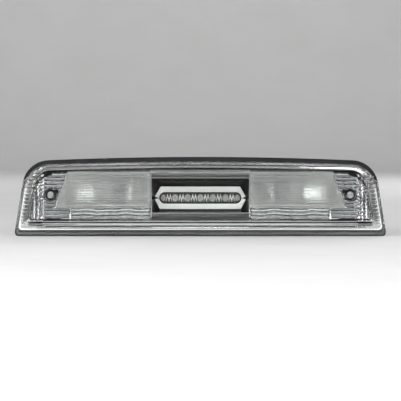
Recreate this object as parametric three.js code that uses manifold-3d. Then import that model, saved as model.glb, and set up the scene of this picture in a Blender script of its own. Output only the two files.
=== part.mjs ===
// Third brake light for the back of a pickup cab: a clear lamp with a row of brake LEDs in the
// middle, a cargo bulb on each side of them and a screw well near each end.
//
// Millimetres. +X points right as seen from behind the truck, +Z points up, and the lamp shines
// along -Y. The origin lies on the cab panel, midway between the axes of the two mounting screws.
import * as THREE from "three";
import { mergeVertices } from "three/addons/utils/BufferGeometryUtils.js";
import Module from "manifold-3d";

const wasm = await Module();
wasm.setup();

// ---------------------------------------------------------------- driving dimensions

// Front-view outlines. Each has a crowned top edge that falls by `drop` at `crownX`, a top corner,
// a side that leans outwards on its way down, a small foot corner and a straight bottom edge.
const SILHOUETTE = { top: 45.6, drop: 4, crownX: 183, corner: 32, lean: 0.165, bottom: -49.3, foot: 4 };
const LENS = { top: 40.2, drop: 3, crownX: 180.5, corner: 34, lean: 0.165, bottom: -48.3, foot: 4 };
const FOLD = { top: 38.4, drop: 3, crownX: 180, corner: 31, lean: 0.165, bottom: -41, foot: 4 };
const FACE = { top: 33.6, drop: 3, crownX: 178, corner: 23, lean: 0.17, bottom: -32.4, foot: 6 };
const PAN = { top: 28.5, drop: 2, crownX: 140, corner: 24, lean: 0.08, bottom: -31.5, foot: 12 };

const GAP = 0.3; // between pieces that touch
const WALL = 2.2; // moulded wall of the housing and the lens
const GASKET = { thick: 3.7, wide: 13, seamX: -115, seam: 0.8 };
const HOUSING = { inset: 0.8, rear: -4, front: -6, panBack: 12.2 };
const SEAL = { thick: 1.4, from: 1, to: 3.2 };
const LENS_REAR = HOUSING.front - SEAL.thick - 2 * GAP;

// The lens face leans with the cab, so its foot stands furthest out, and it is crowned across.
const FACE_Y = -34;
const FACE_TILT = 0.09;
const FACE_CROWN = 5;
const FACE_HALF = 210;

const SCREW = { x: 179.5, seatY: -6.4, bossR: 8, holeR: 3.2, shankR: 2.6, headR: 4.4, tipY: 15 };
const WELL = { bore: 5.5, outer: 7.2 };

const BULB = { x: 97, z: 3, hole: 10.8, glassR: 7.6, tipY: -21 };
const BOWL = { deepY: 5, innerX: 60.8, top: 26.2, bottom: -14.4, ledge: 4 };
const RIM = { x: 169, lean: 0.36, footX: 156 }; // outboard edge of the bowl, and of what lies under it
const BOWL_FOCUS = { inwards: 14, outwards: 42, upright: 16 };
const STEP = 0.6; // height over which an outboard edge steps in, below the bowl
const SKIN = 2.4; // reflector sheet, measured along Y
const BEHIND_FACE = 9.6; // the reflector's front edges stand this far behind the lens face
const END_Y = -16;
const END_WALL = { x0: 190, x1: 206, rise: 10 };

const SOCKET = { hole: 10.6, barrel: 9.9, tabR: 12.5, tabW: 4.4, notchR: 13, notchW: 5.4, lock: 45 };
const COLLAR = { inner: 13.4, outer: 16, rear: 15 };
const TABS = 3;

const LEDS = 7;
const LED_PITCH = 15;
const SLOT = { half: 48.6, r: 6.4, z: -3.3 };
const HEX = { tipX: 56, topX: 48, footX: 49, top: 10.9, bottom: -17.4 };
const WINDOW = { x: 58, top: 20, bottom: -19.6 };

// ---------------------------------------------------------------- shape helpers

const lerp = (a, b, t) => a + (b - a) * t;
const face = (x, z) => FACE_Y + FACE_TILT * z + FACE_CROWN * (x / FACE_HALF) ** 2;

// The outline part way from one outline to another.
const between = (a, b, t) => Object.fromEntries(Object.keys(a).map((k) => [k, lerp(a[k], b[k], t)]));

// The outline moved inwards by d all round.
const inset = (o, d) => ({
  ...o,
  top: o.top - d,
  bottom: o.bottom + d,
  corner: o.corner - d,
  foot: Math.max(o.foot - d, 1),
});

const CROWN_STEPS = 8;
const CORNER_STEPS = 6;
const FOOT_STEPS = 3;

// Points [x, z] of the right half of an outline, upper ones from the top centre to the side and
// lower ones from the side to the bottom centre. Both lists have the same length.
function halfOutline(o) {
  const slope = Math.atan((2 * o.drop) / o.crownX);
  const lean = Math.atan(o.lean);
  const cx = o.crownX - o.corner * Math.sin(slope);
  const cz = o.top - o.drop - o.corner * Math.cos(slope);
  const upper = [];
  for (let i = 0; i < CROWN_STEPS; i++) {
    const x = (o.crownX * i) / CROWN_STEPS;
    upper.push([x, o.top - o.drop * (x / o.crownX) ** 2]);
  }
  for (let i = 0; i <= CORNER_STEPS; i++) {
    const a = lerp(Math.PI / 2 - slope, lean, i / CORNER_STEPS);
    upper.push([cx + o.corner * Math.cos(a), cz + o.corner * Math.sin(a)]);
  }
  const [sx, sz] = upper.at(-1);
  const fz = o.bottom + o.foot;
  const fx = sx + o.lean * (sz - fz) - o.foot * Math.hypot(1, o.lean);
  const lower = [];
  for (let i = 0; i <= FOOT_STEPS; i++) {
    const a = lerp(lean, -Math.PI / 2, i / FOOT_STEPS);
    lower.push([fx + o.foot * Math.cos(a), fz + o.foot * Math.sin(a)]);
  }
  const flat = upper.length - lower.length;
  for (let i = 1; i <= flat; i++) lower.push([fx * (1 - i / flat), o.bottom]);
  return { upper, lower };
}

// The whole outline as points [x, z], from the left side over the top and back along the bottom.
function outline(o) {
  const { upper, lower } = halfOutline(o);
  const mirrored = (list) => list.map(([x, z]) => [-x, z]);
  return [
    ...mirrored(upper).reverse(),
    ...upper.slice(1),
    ...lower,
    ...mirrored(lower.slice(0, -1)).reverse(),
  ];
}

// An outline as a ring of points [x, y, z]. The depth is a number or a function of x and z.
function ring(o, depth) {
  return outline(o).map(([x, z]) => [x, typeof depth === "function" ? depth(x, z) : depth, z]);
}

// A closed mesh from points and triangles, turned to face outwards.
function closedMesh(points, triangles) {
  const v = points.map((p) => new THREE.Vector3(...p));
  let volume = 0;
  for (const [a, b, c] of triangles) volume += v[a].dot(v[b].clone().cross(v[c]));
  const index = volume < 0 ? triangles.map(([a, b, c]) => [a, c, b]) : triangles;
  const geometry = new THREE.BufferGeometry();
  geometry.setAttribute("position", new THREE.Float32BufferAttribute(points.flat(), 3));
  geometry.setIndex(index.flat());
  return geometry;
}

// Triangles between rings of n points each, where ring k starts at point k * n.
function skinOf(count, n, closed) {
  const faces = [];
  for (let k = 0; k < (closed ? count : count - 1); k++) {
    const a = k * n;
    const b = ((k + 1) % count) * n;
    for (let i = 0; i < n; i++) {
      const j = (i + 1) % n;
      faces.push([a + i, a + j, b + j], [a + i, b + j, b + i]);
    }
  }
  return faces;
}

// A shell through the rings, closed over the first and last one by strips from top to bottom.
function shell(rings) {
  const n = rings[0].length;
  const faces = skinOf(rings.length, n, false);
  const last = (rings.length - 1) * n;
  for (let i = 0; i < n / 2 - 1; i++) {
    const j = n - 1 - i;
    faces.push([i, j - 1, i + 1], [i, j, j - 1]);
    faces.push([last + i, last + i + 1, last + j - 1], [last + i, last + j - 1, last + j]);
  }
  return closedMesh(rings.flat(), faces);
}

// A closed band through the rings, the last one joined to the first.
const band = (rings) => closedMesh(rings.flat(), skinOf(rings.length, rings[0].length, true));

// A convex block through the rings, closed by a fan at each end.
function block(rings) {
  const n = rings[0].length;
  const faces = skinOf(rings.length, n, false);
  const last = (rings.length - 1) * n;
  for (let i = 1; i < n - 1; i++) faces.push([0, i + 1, i], [last, last + i, last + i + 1]);
  return closedMesh(rings.flat(), faces);
}

// A sheet over a grid: xs(z) gives the x values of a row, and the sheet lies between two depths.
function sheet(zs, xs, front, rear) {
  const rows = zs.map((z) => xs(z).map((x) => [x, z]));
  const nx = rows[0].length;
  const points = [];
  for (const depth of [front, rear]) {
    for (const row of rows) for (const [x, z] of row) points.push([x, depth(x, z), z]);
  }
  const back = rows.length * nx;
  const faces = [];
  const quad = (a, b, c, d) => faces.push([a, b, c], [a, c, d]);
  for (let j = 0; j < rows.length - 1; j++) {
    for (let i = 0; i < nx - 1; i++) {
      const a = j * nx + i;
      quad(a, a + 1, a + nx + 1, a + nx);
      quad(back + a, back + a + nx, back + a + nx + 1, back + a + 1);
    }
    const left = j * nx;
    const right = left + nx - 1;
    quad(left, left + nx, back + left + nx, back + left);
    quad(right, back + right, back + right + nx, right + nx);
  }
  const lastRow = (rows.length - 1) * nx;
  for (let i = 0; i < nx - 1; i++) {
    quad(i, back + i, back + i + 1, i + 1);
    quad(lastRow + i, lastRow + i + 1, back + lastRow + i + 1, back + lastRow + i);
  }
  return closedMesh(points, faces);
}

const steps = (from, to, count) => Array.from({ length: count + 1 }, (_, i) => lerp(from, to, i / count));

// A box between two corners.
function box(x0, x1, y0, y1, z0, z1) {
  const centred = new THREE.BoxGeometry(x1 - x0, y1 - y0, z1 - z0);
  return centred.translate((x0 + x1) / 2, (y0 + y1) / 2, (z0 + z1) / 2);
}

// A round bar along Y.
function bar(radius, y0, y1, x = 0, z = 0, sides = 24) {
  return new THREE.CylinderGeometry(radius, radius, y1 - y0, sides).translate(x, (y0 + y1) / 2, z);
}

// A profile of [radius, y] points turned about Y.
function turned(profile, x = 0, z = 0, sides = 24) {
  const points = profile.map(([r, y]) => new THREE.Vector2(r, y));
  const doubled = new THREE.LatheGeometry(points, sides);
  return asGeometry(solid(doubled)).translate(x, 0, z);
}

// A ring of rectangular section about Y.
function washer(inner, outer, y0, y1, x = 0, z = 0, sides = 24) {
  const profile = [[inner, y0], [outer, y0], [outer, y1], [inner, y1], [inner, y0]];
  return turned(profile, x, z, sides);
}

// A flat bar with round ends, lying along X.
function stadium(half, r, y0, y1, z = 0, sides = 8) {
  const flat = half - r;
  const turns = steps(-Math.PI / 2, Math.PI / 2, sides);
  const end = (side) => turns.map((a) => [side * (flat + r * Math.cos(a)), z + side * r * Math.sin(a)]);
  const points = [...end(1), ...end(-1)];
  return block([y0, y1].map((y) => points.map(([x, pz]) => [x, y, pz])));
}

// A closed geometry as a manifold-3d solid, facing outwards.
function solid(geometry) {
  const bare = geometry.index ? geometry.toNonIndexed() : geometry.clone();
  const merged = mergeVertices(
    new THREE.BufferGeometry().setAttribute("position", bare.getAttribute("position")),
    1e-4,
  );
  const mesh = (flip) => {
    const triVerts = new Uint32Array(merged.index.array);
    if (flip) for (let i = 0; i < triVerts.length; i += 3) triVerts.subarray(i, i + 3).reverse();
    return new wasm.Mesh({ numProp: 3, vertProperties: merged.attributes.position.array, triVerts });
  };
  const made = new wasm.Manifold(mesh(false));
  return made.volume() < 0 ? new wasm.Manifold(mesh(true)) : made;
}

function asGeometry(made) {
  const mesh = made.getMesh();
  const geometry = new THREE.BufferGeometry();
  geometry.setAttribute("position", new THREE.BufferAttribute(mesh.vertProperties, 3));
  geometry.setIndex(new THREE.BufferAttribute(mesh.triVerts, 1));
  return geometry;
}

// The first geometry with others joined to it and others cut from it.
function carve(base, { join = [], keep = [], cut = [] }) {
  let made = solid(base);
  for (const g of keep) made = made.intersect(solid(g));
  for (const g of join) made = made.add(solid(g));
  for (const g of cut) made = made.subtract(solid(g));
  return asGeometry(made);
}

// ---------------------------------------------------------------- materials

const finish = (color, roughness, metalness, opacity = 1) =>
  new THREE.MeshStandardMaterial({ color, roughness, metalness, opacity, transparent: opacity < 1 });

const M = {
  clear: finish(0xf1f3f4, 0.05, 0, 0.3),
  optic: finish(0xe9edec, 0.1, 0, 0.4),
  glass: finish(0xf4f6f6, 0.03, 0, 0.3),
  chrome: finish(0xd9dbdb, 0.08, 1),
  satin: finish(0xd6d7d3, 0.35, 1),
  smoke: finish(0x3c3d3a, 0.2, 1),
  housing: finish(0x141516, 0.55, 0),
  holder: finish(0x2a2b2c, 0.5, 0),
  foam: finish(0x0e0f0f, 0.95, 0),
  rubber: finish(0x101111, 0.8, 0),
  bead: finish(0xb4b7b6, 0.6, 0),
  board: finish(0x2b302c, 0.45, 0),
  chip: finish(0x1c1d1e, 0.4, 0),
  led: finish(0xe8e2c8, 0.3, 0),
  steel: finish(0xa9abad, 0.35, 1),
  brass: finish(0xc2a35a, 0.3, 1),
  tungsten: finish(0x77787a, 0.4, 1),
  red: finish(0xa5201b, 0.5, 0),
  black: finish(0x151515, 0.5, 0),
};

const lamp = new THREE.Group();

function add(name, geometry, material, parent = lamp) {
  const mesh = new THREE.Mesh(geometry, material);
  mesh.name = name;
  parent.add(mesh);
  return mesh;
}

const SIDES = [["left", -1], ["right", 1]];

// ---------------------------------------------------------------- gasket, housing, seal, lens

function gasket() {
  const outer = SILHOUETTE;
  const inner = inset(SILHOUETTE, GASKET.wide);
  const { seamX, seam, thick } = GASKET;
  const ringed = band([ring(outer, 0), ring(outer, -thick), ring(inner, -thick), ring(inner, 0)]);
  return carve(ringed, { cut: [box(seamX - seam, seamX + seam, -thick - 1, 1, 20, 60)] });
}

// The notched hole of a twist-lock bulb holder, through the housing's back.
function socketHole(x) {
  const cutters = [bar(SOCKET.hole, 8, 20, x, BULB.z, 32)];
  for (let i = 0; i < TABS; i++) {
    const notch = box(0, SOCKET.notchR, 8, 20, -SOCKET.notchW / 2, SOCKET.notchW / 2);
    cutters.push(notch.rotateY(-notchAngle(i)).translate(x, 0, BULB.z));
  }
  return cutters;
}

const notchAngle = (i) => Math.PI / 2 + (i * 2 * Math.PI) / TABS;

const INLET = { z: -14, halfX: 8.5, halfZ: 5, flange: 2.6, rear: 26 };
const VENT = { x: 140, z: -12, hole: 3 };

function housing() {
  const flange = inset(SILHOUETTE, HOUSING.inset);
  const innerBack = HOUSING.panBack - WALL;
  const base = shell([
    ring(inset(PAN, 1.5), HOUSING.panBack),
    ring(PAN, HOUSING.rear),
    ring(flange, HOUSING.rear),
    ring(flange, HOUSING.front),
    ring(inset(PAN, WALL), HOUSING.front),
    ring(inset(PAN, WALL + 1.5), innerBack),
  ]);
  const join = [];
  const inletX = INLET.halfX + GAP;
  const inletZ = INLET.halfZ + GAP;
  const cut = [box(-inletX, inletX, 8, 15, INLET.z - inletZ, INLET.z + inletZ)];
  for (const [, s] of SIDES) {
    join.push(bar(SCREW.bossR, SCREW.seatY, 0, s * SCREW.x, 0));
    cut.push(bar(SCREW.holeR, SCREW.seatY - 1, 1, s * SCREW.x, 0, 20));
    join.push(washer(COLLAR.inner, COLLAR.outer, innerBack + 1, COLLAR.rear, s * BULB.x, BULB.z, 32));
    cut.push(...socketHole(s * BULB.x));
    cut.push(bar(VENT.hole, 8, 15, s * VENT.x, VENT.z, 16));
    for (const [, x, z] of REFLECTOR_SCREWS) cut.push(bar(1.7, 8, 15, s * x, z, 12));
  }
  return carve(base, { join, cut });
}

// The reflectors are screwed on from behind, through the housing's back wall into these bosses.
const REFLECTOR_SCREWS = [["inner", 73, 19], ["outer", 146, 6]];

function lensSeal() {
  const y0 = HOUSING.front - GAP;
  const y1 = y0 - SEAL.thick;
  const outer = inset(LENS, SEAL.from);
  const inner = inset(LENS, SEAL.to);
  return band([ring(outer, y0), ring(outer, y1), ring(inner, y1), ring(inner, y0)]);
}

// The lens's outline part way from its rim (0) over the fold of its skirt to its face (1).
const FOLD_AT = 0.46;
const skirt = (t) =>
  t < FOLD_AT
    ? between(LENS, FOLD, t / FOLD_AT)
    : between(FOLD, FACE, (t - FOLD_AT) / (1 - FOLD_AT));

function outerLens() {
  const at = skirt;
  const out = (d) => (x, z) => face(x, z) + d;
  const base = shell([
    ring(FACE, face),
    ring(at(0.95), out(1.1)),
    ring(at(0.86), out(3.4)),
    ring(at(0.52), LENS_REAR - 4.2),
    ring(at(0.47), LENS_REAR - 3.5),
    ring(at(0.4), LENS_REAR - 2.4),
    ring(inset(LENS, 0.7), LENS_REAR - 2.2),
    ring(LENS, LENS_REAR - 1.6),
    ring(LENS, LENS_REAR),
    ring(inset(at(0.52), WALL), LENS_REAR),
    ring(inset(at(0.52), WALL), LENS_REAR - 3),
    ring(inset(at(0.86), WALL), out(5)),
    ring(inset(FACE, WALL), out(2.5)),
  ]);
  const wells = SIDES.map(([, s]) => s * SCREW.x);
  const tubeRear = SCREW.seatY - GASKET_RING.thick - 2 * GAP;
  return carve(base, {
    join: wells.map((x) => bar(WELL.outer, FACE_Y + 5.5, tubeRear, x, 0)),
    cut: wells.map((x) => bar(WELL.bore, FACE_Y - 10, tubeRear + 1, x, 0)),
  });
}

const GASKET_RING = { thick: 2, inner: 5.4, outer: 7.6 }; // rubber ring at the foot of a screw well

// ---------------------------------------------------------------- reflectors and cargo lenses

// The bowl's rim leans outwards on its way down. Below the bowl the recessed end starts further in.
const rimX = (z) => (z < BOWL.bottom ? RIM.footX : RIM.x - RIM.lean * z);

// Depth of the right-hand reflector's front: a free-form bowl round the bulb, a shelf under it
// and, outboard of the bowl's rim, a recessed end whose wall turns forward.
function reflectorFront(x, z) {
  const lid = face(x, z) + BEHIND_FACE;
  const shelf = lid + 0.2 * (z - FACE.bottom);
  const dx = x - BULB.x;
  const across = dx ** 2 / (4 * (dx < 0 ? BOWL_FOCUS.inwards : BOWL_FOCUS.outwards));
  const upright = (z - BULB.z) ** 2 / (4 * BOWL_FOCUS.upright);
  const bowl = BOWL.deepY - across - upright;
  const forward = Math.max(0, (x - END_WALL.x0) / (END_WALL.x1 - END_WALL.x0));
  if (x > rimX(z) + 0.01) return END_Y - END_WALL.rise * forward;
  if (z >= BOWL.top) return lid;
  if (z <= BOWL.bottom) return shelf;
  const up = Math.max(0, (z - (BOWL.top - BOWL.ledge)) / BOWL.ledge);
  const down = Math.max(0, (BOWL.bottom + BOWL.ledge - z) / BOWL.ledge);
  return Math.max(lerp(lerp(bowl, lid, up), shelf, down), lid);
}

// A square notch beside the hole for the screw well.
const KEYWAY = { x: 169.6, bottom: 2.4, top: 7 };

function reflector() {
  const { bottom, ledge, top } = BOWL;
  const zs = [-31, -24, bottom - STEP, bottom, bottom + ledge, -6, 0, 6, 12, 18, top - ledge, top, 32];
  const xs = (z) => [
    ...steps(BOWL.innerX, BULB.x, 5),
    ...steps(BULB.x, rimX(z), 7).slice(1),
    rimX(z) + 0.8,
    END_WALL.x0,
    END_WALL.x1,
  ];
  const rear = (x, z) => reflectorFront(x, z) + SKIN;
  const edge = inset(FACE, 4.2);
  const fence = shell([ring(edge, -60), ring(edge, 30)]);
  const bulbHole = bar(BULB.hole, -10, 20, BULB.x, BULB.z, 24);
  const wellHole = bar(WELL.outer + 0.6, -40, 10, SCREW.x, 0);
  const keyway = box(KEYWAY.x, SCREW.x, -40, 10, KEYWAY.bottom, KEYWAY.top);
  const front = HOUSING.panBack - WALL - GAP;
  const bosses = REFLECTOR_SCREWS.map(([, x, z]) => bar(3, reflectorFront(x, z) + 1.2, front, x, z, 16));
  const screwHoles = REFLECTOR_SCREWS.map(([, x, z]) => bar(1.3, 1, 12, x, z, 12));
  return carve(sheet(zs, xs, reflectorFront, rear), {
    keep: [fence],
    join: bosses,
    cut: [bulbHole, wellHole, keyway, ...screwHoles],
  });
}

const CARGO = { innerX: 58.9, top: 28.4, bottom: -29.8, clear: 0.8, wall: 1.4 };
const CARGO_DEPTH = { from: 3.4, thick: 2.2, deep: 5.4 }; // behind the lens face

// A clear tray with its open side to the rear, just behind the lens face. Its outboard edge stays
// inside the bowl's rim, so it steps in below the bowl.
function cargoLens() {
  const { innerX, top, bottom, clear, wall } = CARGO;
  const { from, thick, deep } = CARGO_DEPTH;
  const tray = (edge, front, rear) => {
    const notch = BOWL.bottom + edge;
    const outerX = (z) => rimX(z < notch ? bottom : z) - clear - edge;
    return sheet(
      [bottom + edge, notch - STEP, ...steps(notch, top - edge, 3)],
      (z) => steps(innerX + edge, outerX(z), 6),
      (x, z) => face(x, z) + front,
      (x, z) => face(x, z) + rear,
    );
  };
  const back = from + deep;
  return carve(tray(0, from, back), { cut: [tray(wall, from + thick, back + 5)] });
}

// ---------------------------------------------------------------- brake light

// Depth of the surround's front by height, from its rounded brow to its foot.
const BROW = [
  [30.6, -24.4],
  [29.8, -26.4],
  [26, -27.6],
  [23.2, -27.8],
  [22.2, -24.8],
  [20.6, -24.6],
  [WINDOW.top, -23.2],
];
const SILL = [
  [WINDOW.bottom, -19.6],
  [-20.3, -21.2],
  [-21.3, -21.3],
  [-22.1, -19.9],
  [-25, -20.6],
  [-27.2, -22.9],
  [-29.6, -26.4],
];

function surround() {
  const profile = [...BROW, ...SILL].reverse();
  const depth = new Map(profile);
  const zs = profile.map(([z]) => z);
  const slab = sheet(zs, () => [-WINDOW.x, WINDOW.x], (x, z) => depth.get(z), (x, z) => depth.get(z) + 2);
  const windowRing = (grow, y) => [
    [-WINDOW.x + 2 - grow, y, WINDOW.top + grow],
    [WINDOW.x - 2 + grow, y, WINDOW.top + grow],
    [WINDOW.x - 2 + grow, y, SLOT.z],
    [WINDOW.x - 2 + grow, y, WINDOW.bottom - grow],
    [-WINDOW.x + 2 - grow, y, WINDOW.bottom - grow],
    [-WINDOW.x + 2 - grow, y, SLOT.z],
  ];
  const hexRing = (grow, y) => [
    [-HEX.topX - grow, y, HEX.top + grow],
    [HEX.topX + grow, y, HEX.top + grow],
    [HEX.tipX - 1 + grow, y, SLOT.z],
    [HEX.footX + grow, y, HEX.bottom - grow],
    [-HEX.footX - grow, y, HEX.bottom - grow],
    [-HEX.tipX + 1 - grow, y, SLOT.z],
  ];
  const slot = stadium(SLOT.half, SLOT.r, -12, 0, SLOT.z);
  const posts = SIDES.map(([, s]) => bar(3, -8, BOARD.front - GAP, s * BOARD.screwX, SLOT.z, 12));
  const postHoles = SIDES.map(([, s]) => bar(1.6, -8.4, 0, s * BOARD.screwX, SLOT.z, 12));
  return carve(slab, {
    join: [block([windowRing(1.8, -20), hexRing(1.8, SURROUND_BACK)]), ...posts],
    cut: [block([windowRing(0.4, -32), windowRing(0.4, -22), hexRing(0.4, -9)]), slot, ...postHoles],
  });
}

const SURROUND_BACK = -6.8;
const BOARD = { front: -4.6, rear: -3, halfX: 56, halfZ: 9, screwX: 52 };

// Points [x, z] of the bezel's hexagonal rim and of the slot inside it, side by side in step.
function bezelRings(shrink) {
  const n = 4;
  const { tipX, topX, footX, top, bottom } = HEX;
  const right = [[topX, top], [tipX, SLOT.z], [footX, bottom]];
  const corners = [...right, ...right.map(([x, z]) => [-x, z]).reverse()];
  const scale = (v, reach) => v * (1 - shrink / Math.abs(reach));
  const rim = corners.flatMap(([x0, z0], i) => {
    const [x1, z1] = corners[(i + 1) % corners.length];
    return steps(0, 1, n).slice(0, n).map((t) => {
      const x = scale(lerp(x0, x1, t), tipX);
      return [x, SLOT.z + scale(lerp(z0, z1, t) - SLOT.z, top - SLOT.z)];
    });
  });
  const flat = SLOT.half - SLOT.r;
  const point = (side, a) => [side * flat + SLOT.r * Math.cos(a), SLOT.z + SLOT.r * Math.sin(a)];
  const arc = (side, from, to) => steps(from, to, n).slice(0, n).map((a) => point(side, a));
  const line = (x0, x1, z) => steps(x0, x1, n).slice(0, n).map((x) => [x, z]);
  const q = Math.PI / 2;
  const slot = [
    ...arc(1, q, 0),
    ...arc(1, 0, -q),
    ...line(flat, -flat, SLOT.z - SLOT.r),
    ...arc(-1, -q, -2 * q),
    ...arc(-1, -2 * q, -3 * q),
    ...line(-flat, flat, SLOT.z + SLOT.r),
  ];
  return { rim, slot };
}

const BEZEL = { front: -14.4, rear: -9.3, throat: -11.6 };

function bezel() {
  const { rim } = bezelRings(0.6);
  const { rim: crest, slot } = bezelRings(1.6);
  const at = (points, y) => points.map(([x, z]) => [x, y, z]);
  return band([
    at(rim, BEZEL.rear),
    at(rim, BEZEL.front + 0.8),
    at(crest, BEZEL.front),
    at(slot, BEZEL.throat),
    at(slot, BEZEL.rear),
  ]);
}

const ledX = (i) => (i - (LEDS - 1) / 2) * LED_PITCH;

// The clear bar over the LEDs, with a low dome over each of them.
function brakeOptic() {
  const domes = [];
  for (let i = 0; i < LEDS; i++) {
    const profile = [[0, -13], [2, -12.5], [3.2, -11], [3.2, -9], [0, -9]];
    domes.push(turned(profile.reverse(), ledX(i), SLOT.z, 16));
  }
  return carve(stadium(SLOT.half - 0.5, SLOT.r - 0.5, -11, SURROUND_BACK + 0.2, SLOT.z), { join: domes });
}

function ledBoard() {
  const { front, rear, halfX, halfZ, screwX } = BOARD;
  return carve(box(-halfX, halfX, front, rear, SLOT.z - halfZ, SLOT.z + halfZ), {
    cut: SIDES.map(([, s]) => bar(1.8, front - 1, rear + 1, s * screwX, SLOT.z, 12)),
  });
}

// A pan-head screw along Y, its head's top at headY and its tip at tipY.
function screw(head, shank, headY, tipY, x, z, headHigh) {
  const toTip = Math.sign(tipY - headY);
  const under = headY + toTip * headHigh;
  const profile = [
    [0, headY],
    [head * 0.7, headY],
    [head, headY + toTip * headHigh * 0.4],
    [head, under],
    [shank, under],
    [shank, tipY - toTip * shank],
    [0, tipY],
  ];
  return turned(profile, x, z, 16);
}

// ---------------------------------------------------------------- bulb holders

// A holder is built about its own axis and then placed, so both sides lock the same way round.
function holder() {
  const tabs = [];
  for (let i = 0; i < TABS; i++) {
    const tab = box(8, SOCKET.tabR, 7.9, 9.6, -SOCKET.tabW / 2, SOCKET.tabW / 2);
    tabs.push(tab.rotateY(-notchAngle(i) - (SOCKET.lock * Math.PI) / 180));
  }
  const barrel = bar(SOCKET.barrel, 3, 18, 0, 0, 32);
  const disc = bar(COLLAR.outer - 0.2, 17.2, 19.4, 0, 0, 32);
  const grip = box(-13, 13, 19, 27, -2.4, 2.4);
  const shroud = box(-9, 9, 19, 33, -6.5, 6.5);
  return carve(barrel, {
    join: [disc, grip, shroud, ...tabs],
    cut: [
      box(-7.6, 7.6, 21.5, 34, -5, 5),
      box(-7.8, 7.8, 2, 11, -1.8, 1.8),
      ...CONTACTS.map(([, z]) => box(-1.8, 1.8, 2, 24, z - 0.8, z + 0.8)),
    ],
  });
}

const CONTACTS = [["a", 3.2], ["b", -3.2]];

// A wedge-base bulb: a hollow glass envelope on a flat pinched base.
function bulb() {
  const { glassR: r, tipY } = BULB;
  const wall = 0.8;
  const dome = (radius, rise, inner) =>
    steps(0, Math.PI / 2, 4).map((a) => [radius * Math.sin(a), tipY + inner + rise * (1 - Math.cos(a))]);
  const outer = [...dome(r, 6, 0), [r, -4], [5, 1.4], [3.2, 2.4]];
  const inner = [...dome(r - wall, 6, wall), [r - wall, -4], [4.2, 0.6], [0.9, 1.2]];
  const envelope = turned([...outer, [0.9, 2.4], ...inner.reverse()], 0, 0, 20);
  return carve(envelope, { join: [box(-7, 7, 2.1, 10.4, -1.3, 1.3)], cut: [bar(0.9, 0.6, 12, 0, 0, 8)] });
}

// Two support wires and the coil between them, as one bent wire inside the envelope.
function filament() {
  const legs = [-2.4, 2.4].map((x) => bar(0.3, -10, 0, x, 0, 8));
  const coil = bar(0.55, -2.9, 2.9, 0, 0, 8).rotateZ(Math.PI / 2).translate(0, -9.6, 0);
  return carve(legs[0], { join: [coil, legs[1]] });
}

// ---------------------------------------------------------------- inlet, leads, vents

function inlet() {
  const { z, halfX, halfZ, flange, rear } = INLET;
  const back = HOUSING.panBack + GAP;
  const body = box(-halfX, halfX, 8, rear, z - halfZ, z + halfZ);
  const rim = box(-halfX - flange, halfX + flange, back, back + 2, z - halfZ - flange, z + halfZ + flange);
  return carve(body, {
    join: [rim],
    cut: [
      box(-halfX + 1.4, halfX - 1.4, 15, rear + 1, z - halfZ + 1.4, z + halfZ - 1.4),
      ...BLADES.map(([, x]) => box(x - 0.8, x + 0.8, 7, 16, z - 1.6, z + 1.6)),
    ],
  });
}

const BLADES = [["left", -3.5], ["right", 3.5]];

// An insulated lead from the LED board's rear to a blade of the inlet.
function lead(x0, x1) {
  const path = new THREE.CatmullRomCurve3([
    new THREE.Vector3(x0, BOARD.rear + GAP, -7),
    new THREE.Vector3(x0, BOARD.rear + 2.5, -7.2),
    new THREE.Vector3((x0 + x1) / 2, 1.4, -10.5),
    new THREE.Vector3(x1, 3, INLET.z),
    new THREE.Vector3(x1, 5.2, INLET.z),
  ]);
  const section = new THREE.Shape();
  section.absarc(0, 0, 0.9, 0, 2 * Math.PI);
  const options = { steps: 10, curveSegments: 4, extrudePath: path, bevelEnabled: false };
  return new THREE.ExtrudeGeometry(section, options);
}

function ventCap() {
  const back = HOUSING.panBack;
  const stem = [[0, 9], [2.6, 9], [2.6, back + GAP]];
  const profile = [...stem, [5.6, back + GAP], [5.6, back + 3], [4.2, back + 4.4], [0, back + 4.4]];
  return turned(profile, 0, 0, 16);
}

// ---------------------------------------------------------------- assembly

add("gasket", gasket(), M.foam);
add("housing", housing(), M.housing);
add("lens_seal", lensSeal(), M.bead);
add("outer_lens", outerLens(), M.clear);

add("brake_surround", surround(), M.smoke);
add("brake_bezel", bezel(), M.satin);
add("brake_optic", brakeOptic(), M.optic);
add("brake_led_board", ledBoard(), M.board);
for (let i = 0; i < LEDS; i++) {
  const y = BOARD.front - GAP;
  const chip = box(-1.75, 1.75, y - 1.2, y, SLOT.z - 1.75, SLOT.z + 1.75);
  add(`brake_led_${i + 1}`, chip, M.led).position.x = ledX(i);
}
add("brake_regulator", box(-5, 5, BOARD.rear + GAP, BOARD.rear + 2.6, 0, 4.4), M.chip).position.x = 22;
add("brake_diode", box(-2.2, 2.2, BOARD.rear + GAP, BOARD.rear + 2.3, -1.4, 1.4), M.chip).position.x = -22;

add("brake_inlet", inlet(), M.holder);
for (const [side, x] of BLADES) {
  add(`inlet_blade_${side}`, box(x - 0.4, x + 0.4, 5.6, 20.4, INLET.z - 1.2, INLET.z + 1.2), M.brass);
}
add("lead_red", lead(-6, -3.5), M.red);
add("lead_black", lead(6, 3.5), M.black);

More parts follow.
